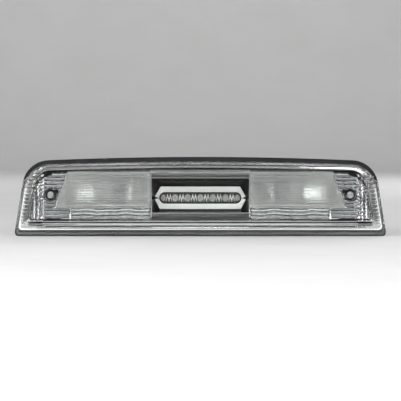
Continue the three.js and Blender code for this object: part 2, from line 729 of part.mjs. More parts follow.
const reflectorShape = reflector();
const cargoShape = cargoLens();
const holderShape = holder();
const bulbShape = bulb();
const filamentShape = filament();
for (const [side, s] of SIDES) {
  const half = new THREE.Group();
  half.scale.x = s;
  lamp.add(half);
  add(`reflector_${side}`, reflectorShape, M.chrome, half);
  add(`cargo_lens_${side}`, cargoShape, M.optic, half);
  add(`vent_cap_${side}`, ventCap(), M.rubber, half).position.set(VENT.x, 0, VENT.z);
  for (const [place, x, z] of REFLECTOR_SCREWS) {
    const fixing = screw(3, 1, HOUSING.panBack + GAP + 2, 2, x, z, 2);
    add(`reflector_screw_${side}_${place}`, fixing, M.steel, half);
  }
  const boardFixing = screw(2.6, 1.3, BOARD.rear + 2.1, -8.2, BOARD.screwX, SLOT.z, 1.8);
  add(`board_screw_${side}`, boardFixing, M.steel, half);
  const wellRing = washer(GASKET_RING.inner, GASKET_RING.outer, 0, GASKET_RING.thick, SCREW.x, 0);
  add(`well_seal_${side}`, wellRing, M.rubber, half).position.y = SCREW.seatY - GASKET_RING.thick - GAP;
  const fixing = screw(SCREW.headR, SCREW.shankR, SCREW.seatY - GAP - 3.4, SCREW.tipY, SCREW.x, 0, 3.4);
  add(`mounting_screw_${side}`, fixing, M.steel, half);

  const twist = new THREE.Group();
  twist.position.set(s * BULB.x, 0, BULB.z);
  lamp.add(twist);
  add(`bulb_holder_${side}`, holderShape, M.holder, twist);
  add(`holder_seal_${side}`, washer(13.6, 15.4, COLLAR.rear + GAP, 16.9, 0, 0, 32), M.rubber, twist);
  add(`cargo_bulb_${side}`, bulbShape, M.glass, twist);
  add(`filament_${side}`, filamentShape, M.tungsten, twist);
  for (const [end, z] of CONTACTS) {
    add(`contact_${side}_${end}`, box(-1.4, 1.4, 5, 27, z - 0.4, z + 0.4), M.brass, twist);
  }
}

export default lamp;
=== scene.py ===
"""Looks of the third brake light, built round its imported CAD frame.

Lengths are in millimetres in the frame's axes, and become metres where a mesh is made: +X points
right as seen from behind the truck, +Z up, and the lamp shines along -Y.
"""

import math
from contextlib import contextmanager
from dataclasses import dataclass, replace

import bmesh
import bpy
import numpy as np
from mathutils import Matrix, Vector

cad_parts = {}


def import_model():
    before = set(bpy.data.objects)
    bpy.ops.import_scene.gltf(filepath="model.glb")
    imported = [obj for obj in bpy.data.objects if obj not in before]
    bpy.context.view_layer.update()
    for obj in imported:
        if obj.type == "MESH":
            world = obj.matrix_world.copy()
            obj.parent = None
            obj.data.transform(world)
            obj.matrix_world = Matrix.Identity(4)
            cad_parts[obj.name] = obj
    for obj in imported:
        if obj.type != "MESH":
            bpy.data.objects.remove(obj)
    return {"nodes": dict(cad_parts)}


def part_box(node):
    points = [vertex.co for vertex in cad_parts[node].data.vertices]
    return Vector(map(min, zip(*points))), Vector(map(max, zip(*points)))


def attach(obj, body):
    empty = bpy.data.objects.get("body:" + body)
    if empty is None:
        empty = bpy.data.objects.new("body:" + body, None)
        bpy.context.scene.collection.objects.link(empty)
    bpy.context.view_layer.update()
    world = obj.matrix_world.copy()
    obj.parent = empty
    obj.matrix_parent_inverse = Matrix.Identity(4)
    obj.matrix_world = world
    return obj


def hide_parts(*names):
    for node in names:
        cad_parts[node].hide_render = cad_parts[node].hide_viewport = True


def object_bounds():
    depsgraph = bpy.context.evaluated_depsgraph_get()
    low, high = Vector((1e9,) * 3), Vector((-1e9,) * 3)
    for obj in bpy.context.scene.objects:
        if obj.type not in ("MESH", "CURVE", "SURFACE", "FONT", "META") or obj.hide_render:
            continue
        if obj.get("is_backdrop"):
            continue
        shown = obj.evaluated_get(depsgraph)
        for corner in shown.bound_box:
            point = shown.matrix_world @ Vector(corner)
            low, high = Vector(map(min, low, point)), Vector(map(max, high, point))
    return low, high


MM = 0.001
SIDES = (("left", -1), ("right", 1))

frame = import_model()
cad_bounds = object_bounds()


def cad(node):
    """Lowest and highest corner of a CAD node, in millimetres."""
    low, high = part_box(node)
    return np.array(low) / MM, np.array(high) / MM


# ---------- driving dimensions


@dataclass(frozen=True)
class Outline:
    """A front view: crowned top edge, round top corners, leaning sides, small foot corners."""

    top: float
    drop: float
    crown_x: float
    corner: float
    lean: float
    bottom: float
    foot: float

    def inset(self, d):
        return replace(
            self,
            top=self.top - d,
            bottom=self.bottom + d,
            corner=self.corner - d,
            foot=max(self.foot - d, 1.0),
        )

    def towards(self, other, t):
        mixed = {k: lerp(getattr(self, k), getattr(other, k), t) for k in self.__dataclass_fields__}
        return Outline(**mixed)


def lerp(a, b, t):
    return a + (b - a) * t


def smoothstep(t):
    t = np.clip(t, 0.0, 1.0)
    return t * t * (3 - 2 * t)


SILHOUETTE = Outline(top=45.6, drop=4, crown_x=183, corner=32, lean=0.165, bottom=-49.3, foot=4)
LENS = Outline(top=40.2, drop=3, crown_x=180.5, corner=34, lean=0.165, bottom=-48.3, foot=4)
FOLD = Outline(top=38.4, drop=3, crown_x=180, corner=31, lean=0.165, bottom=-41, foot=4)
FACE = Outline(top=33.6, drop=3, crown_x=178, corner=23, lean=0.17, bottom=-32.4, foot=6)
PAN = Outline(top=28.5, drop=2, crown_x=140, corner=24, lean=0.08, bottom=-31.5, foot=12)

WALL = 2.2
GASKET_WIDE = 13
SEAM_X, SEAM = -115, 0.8
FLANGE_REAR, FLANGE_FRONT = -4.0, -6.0
PAN_BACK = 12.2
LENS_REAR = -8.0
SEAL_FROM, SEAL_TO = 1.0, 3.2

FACE_Y, FACE_TILT, FACE_CROWN, FACE_HALF = -34.0, 0.09, 5.0, 210.0
BEHIND_FACE = 9.6

SCREW_X = cad("mounting_screw_right")[0][0] + 4.4
WELL_BORE, WELL_OUTER = 5.5, 7.2
SEAT_Y = cad("well_seal_right")[1][1] + 0.3

BULB_X, BULB_Z = 97.0, 3.0
BULB_HOLE = 10.8
BOWL_DEEP, BOWL_TOP, BOWL_BOTTOM, BOWL_LEDGE = 5.0, 26.2, -14.4, 4.0
BOWL_INNER_X = cad("reflector_right")[0][0]
FOCUS_IN, FOCUS_OUT, FOCUS_UP = 14.0, 42.0, 16.0
RIM_X, RIM_LEAN, RIM_FOOT = 169.0, 0.36, 156.0
END_Y, END_X0, END_X1, END_RISE = -16.0, 190.0, 206.0, 10.0
SKIN = 2.4
KEYWAY_X, KEYWAY_Z = 169.6, (2.4, 7.0)
REFLECTOR_BOSSES = ((73, 19), (146, 6))  # their x and z

FLUTE = 4.44  # pitch of the coarse flutes
RIB = 2.8  # pitch of the cargo lenses' fine ribs

SLOT_HALF, SLOT_R, SLOT_Z = 48.6, 6.4, -3.3
LEDS, LED_PITCH = 7, 15.0

ROUND = 64  # sides of the large round tools


def face_y(x, z):
    return FACE_Y + FACE_TILT * z + FACE_CROWN * (x / FACE_HALF) ** 2


def rim_x(z):
    """Outboard edge of the bowl, and of what lies under it."""
    return np.where(z < BOWL_BOTTOM, RIM_FOOT, RIM_X - RIM_LEAN * z)


def lenslet(v, pitch):
    """Round ridges side by side: 1 along the middle of each, 0 in the grooves between them."""
    return 1 - (2 * np.mod(v / pitch, 1.0) - 1) ** 2


# ---------- rings and patches


def arc(cx, cz, r, a0, a1, n):
    a = np.linspace(a0, a1, n)
    return np.column_stack([cx + r * np.cos(a), cz + r * np.sin(a)])


def full_turn(sides):
    return np.linspace(0, 2 * math.pi, sides, endpoint=False)


def circle(x, y, z, r, angles):
    """Points round a line along Y, with r a number or one radius for each angle."""
    return np.column_stack(
        [x + r * np.cos(angles), np.full(len(angles), y), z + r * np.sin(angles)]
    )


def resample(points, fractions):
    """Points at the given fractions of a polyline's length."""
    steps = np.linalg.norm(np.diff(points, axis=0), axis=1)
    along = np.concatenate([[0], np.cumsum(steps)])
    at = np.asarray(fractions) * along[-1]
    return np.column_stack([np.interp(at, along, points[:, k]) for k in range(points.shape[1])])


def runs(o):
    """The right half of an outline as three polylines: top centre to the middle of the corner, on
    to the middle of the foot, and on to the bottom centre."""
    slope = math.atan(2 * o.drop / o.crown_x)
    lean = math.atan(o.lean)
    cx = o.crown_x - o.corner * math.sin(slope)
    cz = o.top - o.drop - o.corner * math.cos(slope)
    start = math.pi / 2 - slope
    middle = (start + lean) / 2
    x = np.linspace(0, o.crown_x, 60)
    crown = np.column_stack([x, o.top - o.drop * (x / o.crown_x) ** 2])
    upper = arc(cx, cz, o.corner, start, middle, 24)
    lower = arc(cx, cz, o.corner, middle, lean, 24)
    side_x, side_z = lower[-1]
    fz = o.bottom + o.foot
    fx = side_x + o.lean * (side_z - fz) - o.foot * math.hypot(1, o.lean)
    turn = (lean - math.pi / 2) / 2
    foot_a = arc(fx, fz, o.foot, lean, turn, 12)
    foot_b = arc(fx, fz, o.foot, turn, -math.pi / 2, 12)
    return (
        np.vstack([crown[:-1], upper]),
        np.vstack([lower, foot_a]),
        np.vstack([foot_b, [[0, o.bottom]]]),
    )


@dataclass(frozen=True)
class Steps:
    """How finely rings and patches are divided: places along the long edges and up the sides."""

    u: np.ndarray
    v: np.ndarray

    @staticmethod
    def graded(end, middle, side, share=0.24):
        """Half a long edge has `middle` steps, and `end` finer ones in its last `share`."""
        half = np.concatenate(
            [np.linspace(0, 1 - share, middle + 1)[:-1], np.linspace(1 - share, 1, end + 1)]
        )
        u = np.concatenate([-half[:0:-1], half]) / 2 + 0.5
        return Steps(u, np.linspace(0, 1, side + 1))


def sides_of(o, steps):
    """The outline's four sides: bottom and top from left to right, and both sides upwards."""
    top, side, bottom = runs(o)
    half = steps.u[len(steps.u) // 2 :] * 2 - 1
    top_half = resample(top, half)
    bottom_half = resample(bottom[::-1], half)
    right = resample(side[::-1], steps.v)
    mirror = np.array([-1, 1])
    full = [np.vstack([(h * mirror)[:0:-1], h]) for h in (bottom_half, top_half)]
    return full[0], right, full[1], right * mirror


def ring_of(sides):
    """One closed ring of points, counter-clockwise from the bottom left."""
    bottom, right, top, left = sides
    return np.vstack([bottom[:-1], right[:-1], top[:0:-1], left[:0:-1]])


def patch_of(sides, steps):
    """A grid of points that fills the ring (a Coons patch)."""
    bottom, right, top, left = (s[None] if k % 2 == 0 else s[:, None] for k, s in enumerate(sides))
    u = steps.u[None, :, None]
    v = steps.v[:, None, None]
    corners = (
        (1 - u) * (1 - v) * bottom[:, :1]
        + u * (1 - v) * bottom[:, -1:]
        + (1 - u) * v * top[:, :1]
        + u * v * top[:, -1:]
    )
    return (1 - v) * bottom + v * top + (1 - u) * left + u * right - corners


def lifted(points, depth):
    """Points [x, z] as points [x, y, z], with depth a number or a function of x and z."""
    x, z = points[..., 0], points[..., 1]
    y = depth(x, z) if callable(depth) else np.full_like(x, depth)
    return np.stack([x, y, z], axis=-1)


def band_faces(a, b, n):
    """Quads between two rings of n points that start at vertices a and b."""
    i = np.arange(n)
    j = (i + 1) % n
    return np.column_stack([a + i, a + j, b + j, b + i])


def grid_faces(index):
    """Quads over a grid of vertex numbers."""
    return np.stack(
        [index[:-1, :-1], index[:-1, 1:], index[1:, 1:], index[1:, :-1]], axis=-1
    ).reshape(-1, 4)


def border(index):
    """The numbers round the edge of a grid of vertex numbers."""
    return np.concatenate([index[0, :-1], index[:-1, -1], index[-1, :0:-1], index[:0:-1, 0]])


@contextmanager
def edited(data):
    """A bmesh of the mesh, which gets the changes when the block ends."""
    made = bmesh.new()
    made.from_mesh(data)
    yield made
    made.to_mesh(data)
    made.free()


class Build:
    """Collects points and faces for one mesh."""

    def __init__(self):
        self.points, self.faces, self.slots, self.count = [], [], [], 0

    def add_points(self, points):
        points = np.asarray(points, float).reshape(-1, 3)
        self.points.append(points)
        self.count += len(points)
        return self.count - len(points)

    def add_faces(self, faces, slot=0):
        self.faces += [tuple(map(int, f)) for f in faces]
        self.slots += [slot] * len(faces)

    def rings(self, rings, closed=False, slots=None):
        """A skin through rings of equal length. Returns the first vertex of each ring."""
        starts = [self.add_points(r) for r in rings]
        n = len(rings[0])
        pairs = list(zip(starts, starts[1:] + ([starts[0]] if closed else [])))
        for k, (a, b) in enumerate(pairs):
            self.add_faces(band_faces(a, b, n), slots[k] if slots else 0)
        return starts

    def cap(self, start, patch, slot=0):
        """A patch that closes the ring starting at that vertex."""
        nv, nu = patch.shape[0] - 1, patch.shape[1] - 1
        inner = self.add_points(patch[1:-1, 1:-1])
        index = np.zeros((nv + 1, nu + 1), int)
        index[1:-1, 1:-1] = inner + np.arange((nv - 1) * (nu - 1)).reshape(nv - 1, nu - 1)
        index[0, :-1] = start + np.arange(nu)
        index[:-1, -1] = start + nu + np.arange(nv)
        index[-1, :0:-1] = start + nu + nv + np.arange(nu)
        index[:0:-1, 0] = start + 2 * nu + nv + np.arange(nv)
        self.add_faces(grid_faces(index), slot)

    def slab(self, front, back, parts, slot=0):
        """A solid between two grids of points. parts gives the front's pieces, as slices of the
        grid with a slot for each."""
        a, b = (
            self.add_points(grid) + np.arange(grid.shape[0] * grid.shape[1]).reshape(grid.shape[:2])
            for grid in (front, back)
        )
        for where, part_slot in parts:
            self.add_faces(grid_faces(a[where]), part_slot)
        self.add_faces(grid_faces(b[::-1]), slot)
        la, lb = border(a), border(b)
        self.add_faces(np.column_stack([la, np.roll(la, -1), np.roll(lb, -1), lb]), slot)

    def fan(self, start, n, slot=0):
        """One flat face over a ring."""
        self.add_faces([tuple(range(start, start + n))], slot)

    def rod(self, rings):
        """A skin through rings, with a flat face over the first and the last."""
        starts = self.rings(rings)
        for start in (starts[0], starts[-1]):
            self.fan(start, len(rings[0]))

    def mesh(self, name):
        data = bpy.data.meshes.new(name)
        data.from_pydata((np.vstack(self.points) * MM).tolist(), [], self.faces)
        data.polygons.foreach_set("material_index", self.slots)
        with edited(data) as made:
            bmesh.ops.recalc_face_normals(made, faces=made.faces)
        return data


def smooth(data, angle=30):
    data.shade_smooth()
    data.set_sharp_from_angle(angle=math.radians(angle))


def new_object(name, data, materials):
    made = bpy.data.objects.new(name, data)
    bpy.context.scene.collection.objects.link(made)
    for m in materials if isinstance(materials, (list, tuple)) else [materials]:
        made.data.materials.append(m)
    return made


def piece(name, build, materials, stands_for, slot, body="lamp", angle=30):
    """A finished piece from a Build, a mesh or an object, riding on its body."""
    data = build.mesh(name) if isinstance(build, Build) else build
    made = data if isinstance(data, bpy.types.Object) else new_object(name, data, materials)
    made.name = name
    smooth(made.data, angle)
    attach(made, body)
    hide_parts(*([stands_for] if isinstance(stands_for, str) else stands_for))
    return made


def boolean(base, operation, *tools):
    """base with the tools joined or cut, one after another. The tools are removed."""
    for tool in tools:
        change = base.modifiers.new("boolean", "BOOLEAN")
        change.operation = operation
        change.solver = "EXACT"
        change.object = tool
        evaluated(base)
        bpy.data.objects.remove(tool)
    return base


def evaluated(ob):
    """ob with its modifiers applied to its mesh."""
    bpy.context.view_layer.update()
    graph = bpy.context.evaluated_depsgraph_get()
    data = bpy.data.meshes.new_from_object(ob.evaluated_get(graph))
    ob.modifiers.clear()
    ob.data = data
    return ob


def mirrored(data, name):
    """A copy of a mesh on the other side of the lamp."""
    copy = data.copy()
    copy.name = name
    with edited(copy) as made:
        bmesh.ops.transform(made, matrix=Matrix.Scale(-1, 4, (1, 0, 0)), verts=made.verts)
        bmesh.ops.reverse_faces(made, faces=made.faces)
    return copy


# ---------- turned and boxy shapes

ON_AXIS = 1e-6  # a radius up to this is a point on the axis


def turned(profile, x=0.0, z=0.0, sides=48):
    """A Build of [radius, y] points turned about a line along Y, closed over its first and last
    ring unless they are on the axis."""
    made = Build()
    starts = made.rings([circle(x, y, z, r, full_turn(sides)) for r, y in profile if r > ON_AXIS])
    for (r, y), start in ((profile[0], starts[0]), (profile[-1], starts[-1])):
        if r > ON_AXIS:
            made.fan(start, sides)
        else:
            tip = made.add_points([[x, y, z]])
            i = np.arange(sides)
            cone = [start + i, start + (i + 1) % sides, np.full(sides, tip)]
            made.add_faces(np.column_stack(cone))
    return made


def rounded(points, radius, n=5):
    """An open polyline of [radius, y] points with its inner corners rounded."""
    points = [np.array(p, float) for p in points]
    made = [points[0]]
    for before, corner, after in zip(points, points[1:], points[2:]):
        a, b = before - corner, after - corner
        reach = min(radius, np.linalg.norm(a) * 0.45, np.linalg.norm(b) * 0.45)
        start = corner + a / np.linalg.norm(a) * reach
        end = corner + b / np.linalg.norm(b) * reach
        for t in np.linspace(0, 1, n):
            made.append((1 - t) ** 2 * start + 2 * t * (1 - t) * corner + t * t * end)
    made.append(points[-1])
    return made


def solid(name, build, materials=()):
    return new_object(name, build.mesh(name), materials)


def bar(name, r, y0, y1, x, z, sides=48):
    """A plain round tool for joining or cutting."""
    return solid(name, turned([[r, y0], [r, y1]], x, z, sides))


def block(name, low, high, turn=0.0, at=(0, 0)):
    """A plain box tool, turned about a line along Y through `at`."""
    data = bpy.data.meshes.new(name)
    made = bmesh.new()
    bmesh.ops.create_cube(made, size=1)
    low, high = np.array(low, float), np.array(high, float)
    for v in made.verts:
        p = low + (np.array(v.co) + 0.5) * (high - low)
        c, s = math.cos(turn), math.sin(turn)
        v.co = Vector((at[0] + p[0] * c + p[2] * s, p[1], at[1] - p[0] * s + p[2] * c)) * MM
    made.to_mesh(data)
    made.free()
    return new_object(name, data, [])


def bevelled(node, width, segments=2, angle=30):
    """A copy of a CAD node's mesh, with whole flat faces and rounded edges."""
    made = bmesh.new()
    made.from_mesh(frame["nodes"][node].data)
    bmesh.ops.remove_doubles(made, verts=made.verts, dist=1e-6)
    bmesh.ops.dissolve_limit(
        made, angle_limit=math.radians(1), verts=made.verts, edges=made.edges, delimit={"NORMAL"}
    )
    hard = [e for e in made.edges if e.is_manifold and e.calc_face_angle(0) > math.radians(angle)]
    bmesh.ops.bevel(
        made, geom=hard, offset=width * MM, offset_type="OFFSET", segments=segments,
        profile=0.5, affect="EDGES", clamp_overlap=True,
    )
    data = bpy.data.meshes.new(node)
    made.to_mesh(data)
    made.free()
    return data


# ---------- materials


class Nodes:
    """A material's node tree, with short calls for what the materials here share."""

    def __init__(self, name):
        self.material = bpy.data.materials.new(name)
        self.material.use_nodes = True
        self.tree = self.material.node_tree
        self.shader = self.tree.nodes["Principled BSDF"]
        self.place = self.tree.nodes.new("ShaderNodeTexCoord").outputs["Object"]

    def set(self, **values):
        for key, value in values.items():
            self.shader.inputs[key.replace("_", " ")].default_value = value
        return self

    def link(self, output, key):
        self.tree.links.new(output, self.shader.inputs[key])

    def add(self, kind, output, **inputs):
        """The named output of a new node, with each input set to a value or linked to an output."""
        made = self.tree.nodes.new(f"ShaderNode{kind}")
        for key, value in inputs.items():
            socket = made.inputs[key.replace("_", " ")]
            if isinstance(value, bpy.types.NodeSocket):
                self.tree.links.new(value, socket)
            else:
                socket.default_value = value
        return made.outputs[output]

    def noise(self, scale, detail=3.0, rough=0.5, stretch=(1, 1, 1)):
        place = self.add("Mapping", "Vector", Scale=stretch, Vector=self.place)
        grain = {"Scale": scale, "Detail": detail, "Roughness": rough}
        return self.add("TexNoise", "Fac", Vector=place, **grain)

    def cells(self, scale):
        return self.add("TexVoronoi", "Distance", Scale=scale, Vector=self.place)

    def span(self, value, low, high):
        """Takes the middle of a noise's range to low and high."""
        ends = {"From_Min": 0.3, "From_Max": 0.7, "To_Min": low, "To_Max": high}
        return self.add("MapRange", "Result", Value=value, **ends)

    def tint(self, value, low, high):
        made = self.tree.nodes.new("ShaderNodeMix")
        made.data_type = "RGBA"
        made.inputs["A"].default_value = (*low, 1)
        made.inputs["B"].default_value = (*high, 1)
        self.tree.links.new(self.span(value, 0, 1), made.inputs["Factor"])
        self.link(made.outputs["Result"], "Base Color")
        return self

    def roughness(self, value, low, high):
        self.link(self.span(value, low, high), "Roughness")
        return self

    def bump(self, value, strength, distance):
        depth = distance * MM
        normal = self.add("Bump", "Normal", Strength=strength, Distance=depth, Height=value)
        self.link(normal, "Normal")
        return self


def clear_plastic(name, colour, ior, roughness=0.0, through=1.0):
    n = Nodes(name).set(
        Base_Color=(*colour, 1), Transmission_Weight=through, IOR=ior, Roughness=roughness
    )
    return n.bump(n.noise(45, 2), 0.004, 0.3).material


def metallised(name, low, high, roughness, wave=0.008):
    n = Nodes(name).set(Metallic=1.0)
    n.tint(n.noise(30, 4), low, high)
    n.roughness(n.noise(120, 5), *roughness)
    return n.bump(n.noise(70, 2), wave, 0.5).material


def plastic(name, low, high, roughness, grain=0.25, scale=1400, specular=0.5):
    n = Nodes(name).set(Specular_IOR_Level=specular)
    n.tint(n.noise(60, 5), low, high)
    n.roughness(n.noise(220, 4), *roughness)
    return n.bump(n.noise(scale, 2), grain, 0.12).material


def satin(name, low, high, roughness):
    """Silver lacquer: metal flakes that also scatter light."""
    n = Nodes(name).set(Metallic=0.15)
    n.tint(n.noise(30, 4), low, high)
    n.roughness(n.noise(120, 5), *roughness)
    return n.bump(n.noise(900, 2), 0.05, 0.05).material


def foam(name):
    n = Nodes(name)
    n.tint(n.noise(500, 3), (0.004, 0.004, 0.004), (0.012, 0.012, 0.012))
    n.set(Roughness=0.95, Specular_IOR_Level=0.05)
    return n.bump(n.cells(900), 0.6, 0.35).material


def metal(name, low, high, roughness, stretch=(1, 1, 1), scale=400):
    n = Nodes(name).set(Metallic=1.0)
    grain = n.noise(scale, 4, 0.6, stretch)
    n.tint(n.noise(90, 4), low, high)
    n.roughness(grain, *roughness)
    return n.bump(grain, 0.15, 0.05).material


def solder_mask(name):
    n = Nodes(name).set(Roughness=0.35, Coat_Weight=0.3)
    brick = n.tree.nodes.new("ShaderNodeTexBrick")
    look = {
        "Scale": 120,
        "Mortar Size": 0.035,
        "Color1": (0.030, 0.034, 0.031, 1),
        "Color2": (0.040, 0.044, 0.041, 1),
        "Mortar": (0.075, 0.08, 0.075, 1),
    }
    for key, value in look.items():
        brick.inputs[key].default_value = value
    n.tree.links.new(n.place, brick.inputs["Vector"])
    n.link(brick.outputs["Color"], "Base Color")
    return n.bump(brick.outputs["Fac"], 0.2, 0.05).material


M = {
    "lens": clear_plastic("clear_polycarbonate", (0.985, 0.992, 0.988), 1.55),
    "inner_lens": clear_plastic("clear_acrylic", (0.955, 0.97, 0.96), 1.49, 0.12, 0.82),
    "optic": clear_plastic("optic_acrylic", (0.96, 0.975, 0.965), 1.49),
    "glass": clear_plastic("bulb_glass", (0.97, 0.975, 0.98), 1.47),
    "chrome": metallised("chrome", (0.66, 0.67, 0.67), (0.74, 0.75, 0.745), (0.03, 0.08)),
    # brighter chrome for the flange's ridge below the lens's face: a painted highlight
    "bright": metallised(
        "bright_chrome_painted_glint", (0.91, 0.915, 0.915), (0.95, 0.955, 0.955), (0.02, 0.05), wave=0.004
    ),
    # a darker copy of the chrome for the fluted ends of the same reflector: painted shade that dims
    # their reflections
    "end": metallised("end_chrome_painted_shade", (0.37, 0.38, 0.39), (0.45, 0.46, 0.47), (0.02, 0.05)),
    "smoke": metallised(
        "smoked_chrome", (0.025, 0.025, 0.024), (0.045, 0.045, 0.043), (0.06, 0.14)
    ),
    # a lighter copy of the surround's finish for its lit bands: painted light
    "brow": metallised("grey_chrome_painted_light", (0.36, 0.365, 0.355), (0.43, 0.435, 0.425), (0.28, 0.38)),
    "satin": satin("satin_silver", (0.93, 0.94, 0.92), (0.97, 0.975, 0.965), (0.38, 0.5)),
    # a darker copy for the bands between: painted shade
    "dull": satin("dull_silver_painted_shade", (0.095, 0.098, 0.095), (0.125, 0.128, 0.125), (0.3, 0.4)),
    # pale opaque plastic laid on the lens's fold and the optic's ridges: painted highlights
    "frost": plastic("frosted_acrylic_painted_glint", (0.86, 0.88, 0.87), (0.92, 0.94, 0.93), (0.2, 0.3), 0.1),
    "housing": plastic(
        "housing_black", (0.008, 0.008, 0.009), (0.015, 0.015, 0.016), (0.48, 0.62), specular=0.12
    ),
    "connector": plastic("connector_nylon", (0.02, 0.02, 0.022), (0.04, 0.04, 0.043), (0.38, 0.52)),
    "holder": plastic("holder_nylon", (0.10, 0.105, 0.11), (0.15, 0.155, 0.16), (0.4, 0.55)),
    "rubber": plastic(
        "rubber", (0.012, 0.012, 0.012), (0.025, 0.025, 0.025), (0.65, 0.8), 0.2, 900
    ),
    "bead": plastic("silicone", (0.08, 0.082, 0.08), (0.11, 0.112, 0.11), (0.35, 0.55), 0.4, 300),
    "foam": foam("gasket_foam"),
    "steel": metal("zinc_plated_steel", (0.55, 0.56, 0.58), (0.66, 0.67, 0.68), (0.2, 0.38)),
    "brass": metal("contact_brass", (0.68, 0.52, 0.25), (0.80, 0.64, 0.34), (0.2, 0.35), (1, 8, 1)),
    "tungsten": metal("filament_wire", (0.30, 0.30, 0.31), (0.45, 0.45, 0.46), (0.3, 0.5)),
    "board": solder_mask("solder_mask"),
    "phosphor": plastic("led_phosphor", (0.60, 0.60, 0.54), (0.70, 0.70, 0.64), (0.25, 0.35), 0.2),
    "package": plastic("led_package", (0.72, 0.74, 0.72), (0.80, 0.82, 0.80), (0.3, 0.42), 0.1),
    "epoxy": plastic("chip_epoxy", (0.012, 0.012, 0.012), (0.025, 0.025, 0.025), (0.35, 0.5), 0.3),
    "red_wire": plastic(
        "red_insulation", (0.35, 0.015, 0.01), (0.45, 0.025, 0.02), (0.3, 0.4), 0.1
    ),
    "black_wire": plastic(
        "black_insulation", (0.01, 0.01, 0.01), (0.02, 0.02, 0.02), (0.3, 0.4), 0.1
    ),
}


# ---------- gasket, housing, seal

RING_STEPS = Steps.graded(end=26, middle=16, side=24)
LENS_STEPS = Steps.graded(end=44, middle=18, side=130)


def ring(o, depth, steps=RING_STEPS):
    return lifted(ring_of(sides_of(o, steps)), depth)


def gasket():
    low, high = cad("gasket")
    rear, front = high[1], low[1]
    edge = 0.7
    profile = [
        (0, front + edge), (edge * 0.3, front + edge * 0.3), (edge, front),
        (GASKET_WIDE * 0.5, front), (GASKET_WIDE - edge, front),
        (GASKET_WIDE - edge * 0.3, front + edge * 0.3), (GASKET_WIDE, front + edge),
        (GASKET_WIDE, rear), (0, rear),
    ]
    made = Build()
    made.rings([ring(SILHOUETTE.inset(d), y) for d, y in profile], closed=True)
    body = solid("foam_gasket", made, M["foam"])
    seam = block("seam", (SEAM_X - SEAM, front - 1, 20), (SEAM_X + SEAM, rear + 1, 60))
    piece("foam_gasket", boolean(body, "DIFFERENCE", seam), None, "gasket", "gasket_foam")


# the third and fourth slots are painted highlights: lighter copies of the housing's chrome
BLACK, CHROME, GLINT_CHROME, GLINT_SATIN = range(4)  # slots of the housing's finishes
SHELF_BLACK, SHELF_GLINT, INSIDE_BLACK = 195, 200, 160  # outboard of these x
SHELF_BOTTOM = -33.5

RIB_PLACES = (-152, -122, -58, -30, 30, 58, 122, 152)
RIB_HALF, RIB_TALL, RIB_LOW, RIB_HIGH, RIB_END = 0.7, 2, -25, 22, 153
BOSS_R, COLLAR_R, COLLAR_BORE, COLLAR_END = 8, 16, 13.4, 15
HOLDER_HOLE, LUG_REACH, LUG_HALF = 10.6, 13, 2.7
VENT_X, VENT_Z, VENT_R = 140, -12, 3
PAD_R, PILOT_R = 4.2, 1.7
THROUGH = (8, 20)  # a cut through the pan's back, in y

BARS_FROM, BAR_HALF, BAR_RISE = 4.2, 1.2, 1.6


def flange_step(d):
    """Outline of the small ridge on the flange, in line with the fold of the lens's skirt."""
    return replace(LENS.inset(5.4 + d), bottom=FOLD.bottom + 0.5 + d)


def flange_skin():
    """The housing's outlines from its back round the rim to its inside: outline, y and finish."""
    flange = SILHOUETTE.inset(0.8)
    inside = PAN_BACK - WALL
    return [
        (PAN.inset(4.0), PAN_BACK, BLACK),
        (PAN.inset(2.2), PAN_BACK - 0.4, BLACK),
        (PAN.inset(1.4), PAN_BACK - 1.6, BLACK),
        (PAN, FLANGE_REAR + 1.2, BLACK),
        (PAN.inset(-0.4), FLANGE_REAR + 0.4, BLACK),
        (PAN.inset(-1.4), FLANGE_REAR, BLACK),
        (flange.inset(0.4), FLANGE_REAR, BLACK),
        (flange, FLANGE_REAR - 0.4, BLACK),
        (flange, FLANGE_FRONT + 0.4, BLACK),
        (flange.inset(0.4), FLANGE_FRONT, BLACK),
        (LENS.inset(SEAL_TO + 0.2), FLANGE_FRONT, CHROME),
        (flange_step(-0.4), FLANGE_FRONT + 0.1, CHROME),
        (flange_step(-0.1), FLANGE_FRONT - 0.4, CHROME),
        (flange_step(0.4), FLANGE_FRONT - 0.4, CHROME),
        (flange_step(0.7), FLANGE_FRONT + 0.1, CHROME),
        (replace(LENS.inset(9), bottom=SHELF_BOTTOM), FLANGE_FRONT - 0.15, CHROME),
        (PAN.inset(WALL - 1), FLANGE_FRONT, CHROME),
        (PAN.inset(WALL), FLANGE_FRONT + 1, CHROME),
        (PAN.inset(WALL + 1.2), inside - 1.2, CHROME),
        (PAN.inset(WALL + 2.4), inside, CHROME),
    ]


def paint_flange(slots, outlines):
    """Below the lens's face the rim is black, the ridge bright chrome and the shelf satin at its
    ends: painted highlights, lighter copies of the chrome the flange has elsewhere.
    """
    x, _, z = ring(flange_step(0), 0).T
    count = len(x)
    rim, shelf = (outlines.index(o) * count for o in (LENS.inset(SEAL_TO + 0.2), flange_step(0.7)))
    for k, (far, below) in enumerate(zip(np.abs(x), z < FACE.bottom)):
        if below:
            slots[rim + k] = BLACK
            for band in range(rim + count, shelf + count, count):
                slots[band + k] = GLINT_CHROME
            # satin at the ends of the shelf is a painted highlight
            if far > SHELF_GLINT:
                slots[shelf + k] = GLINT_SATIN
        elif far > SHELF_BLACK:
            slots[shelf + k] = BLACK
        if far > INSIDE_BLACK:
            slots[shelf + count + k] = BLACK


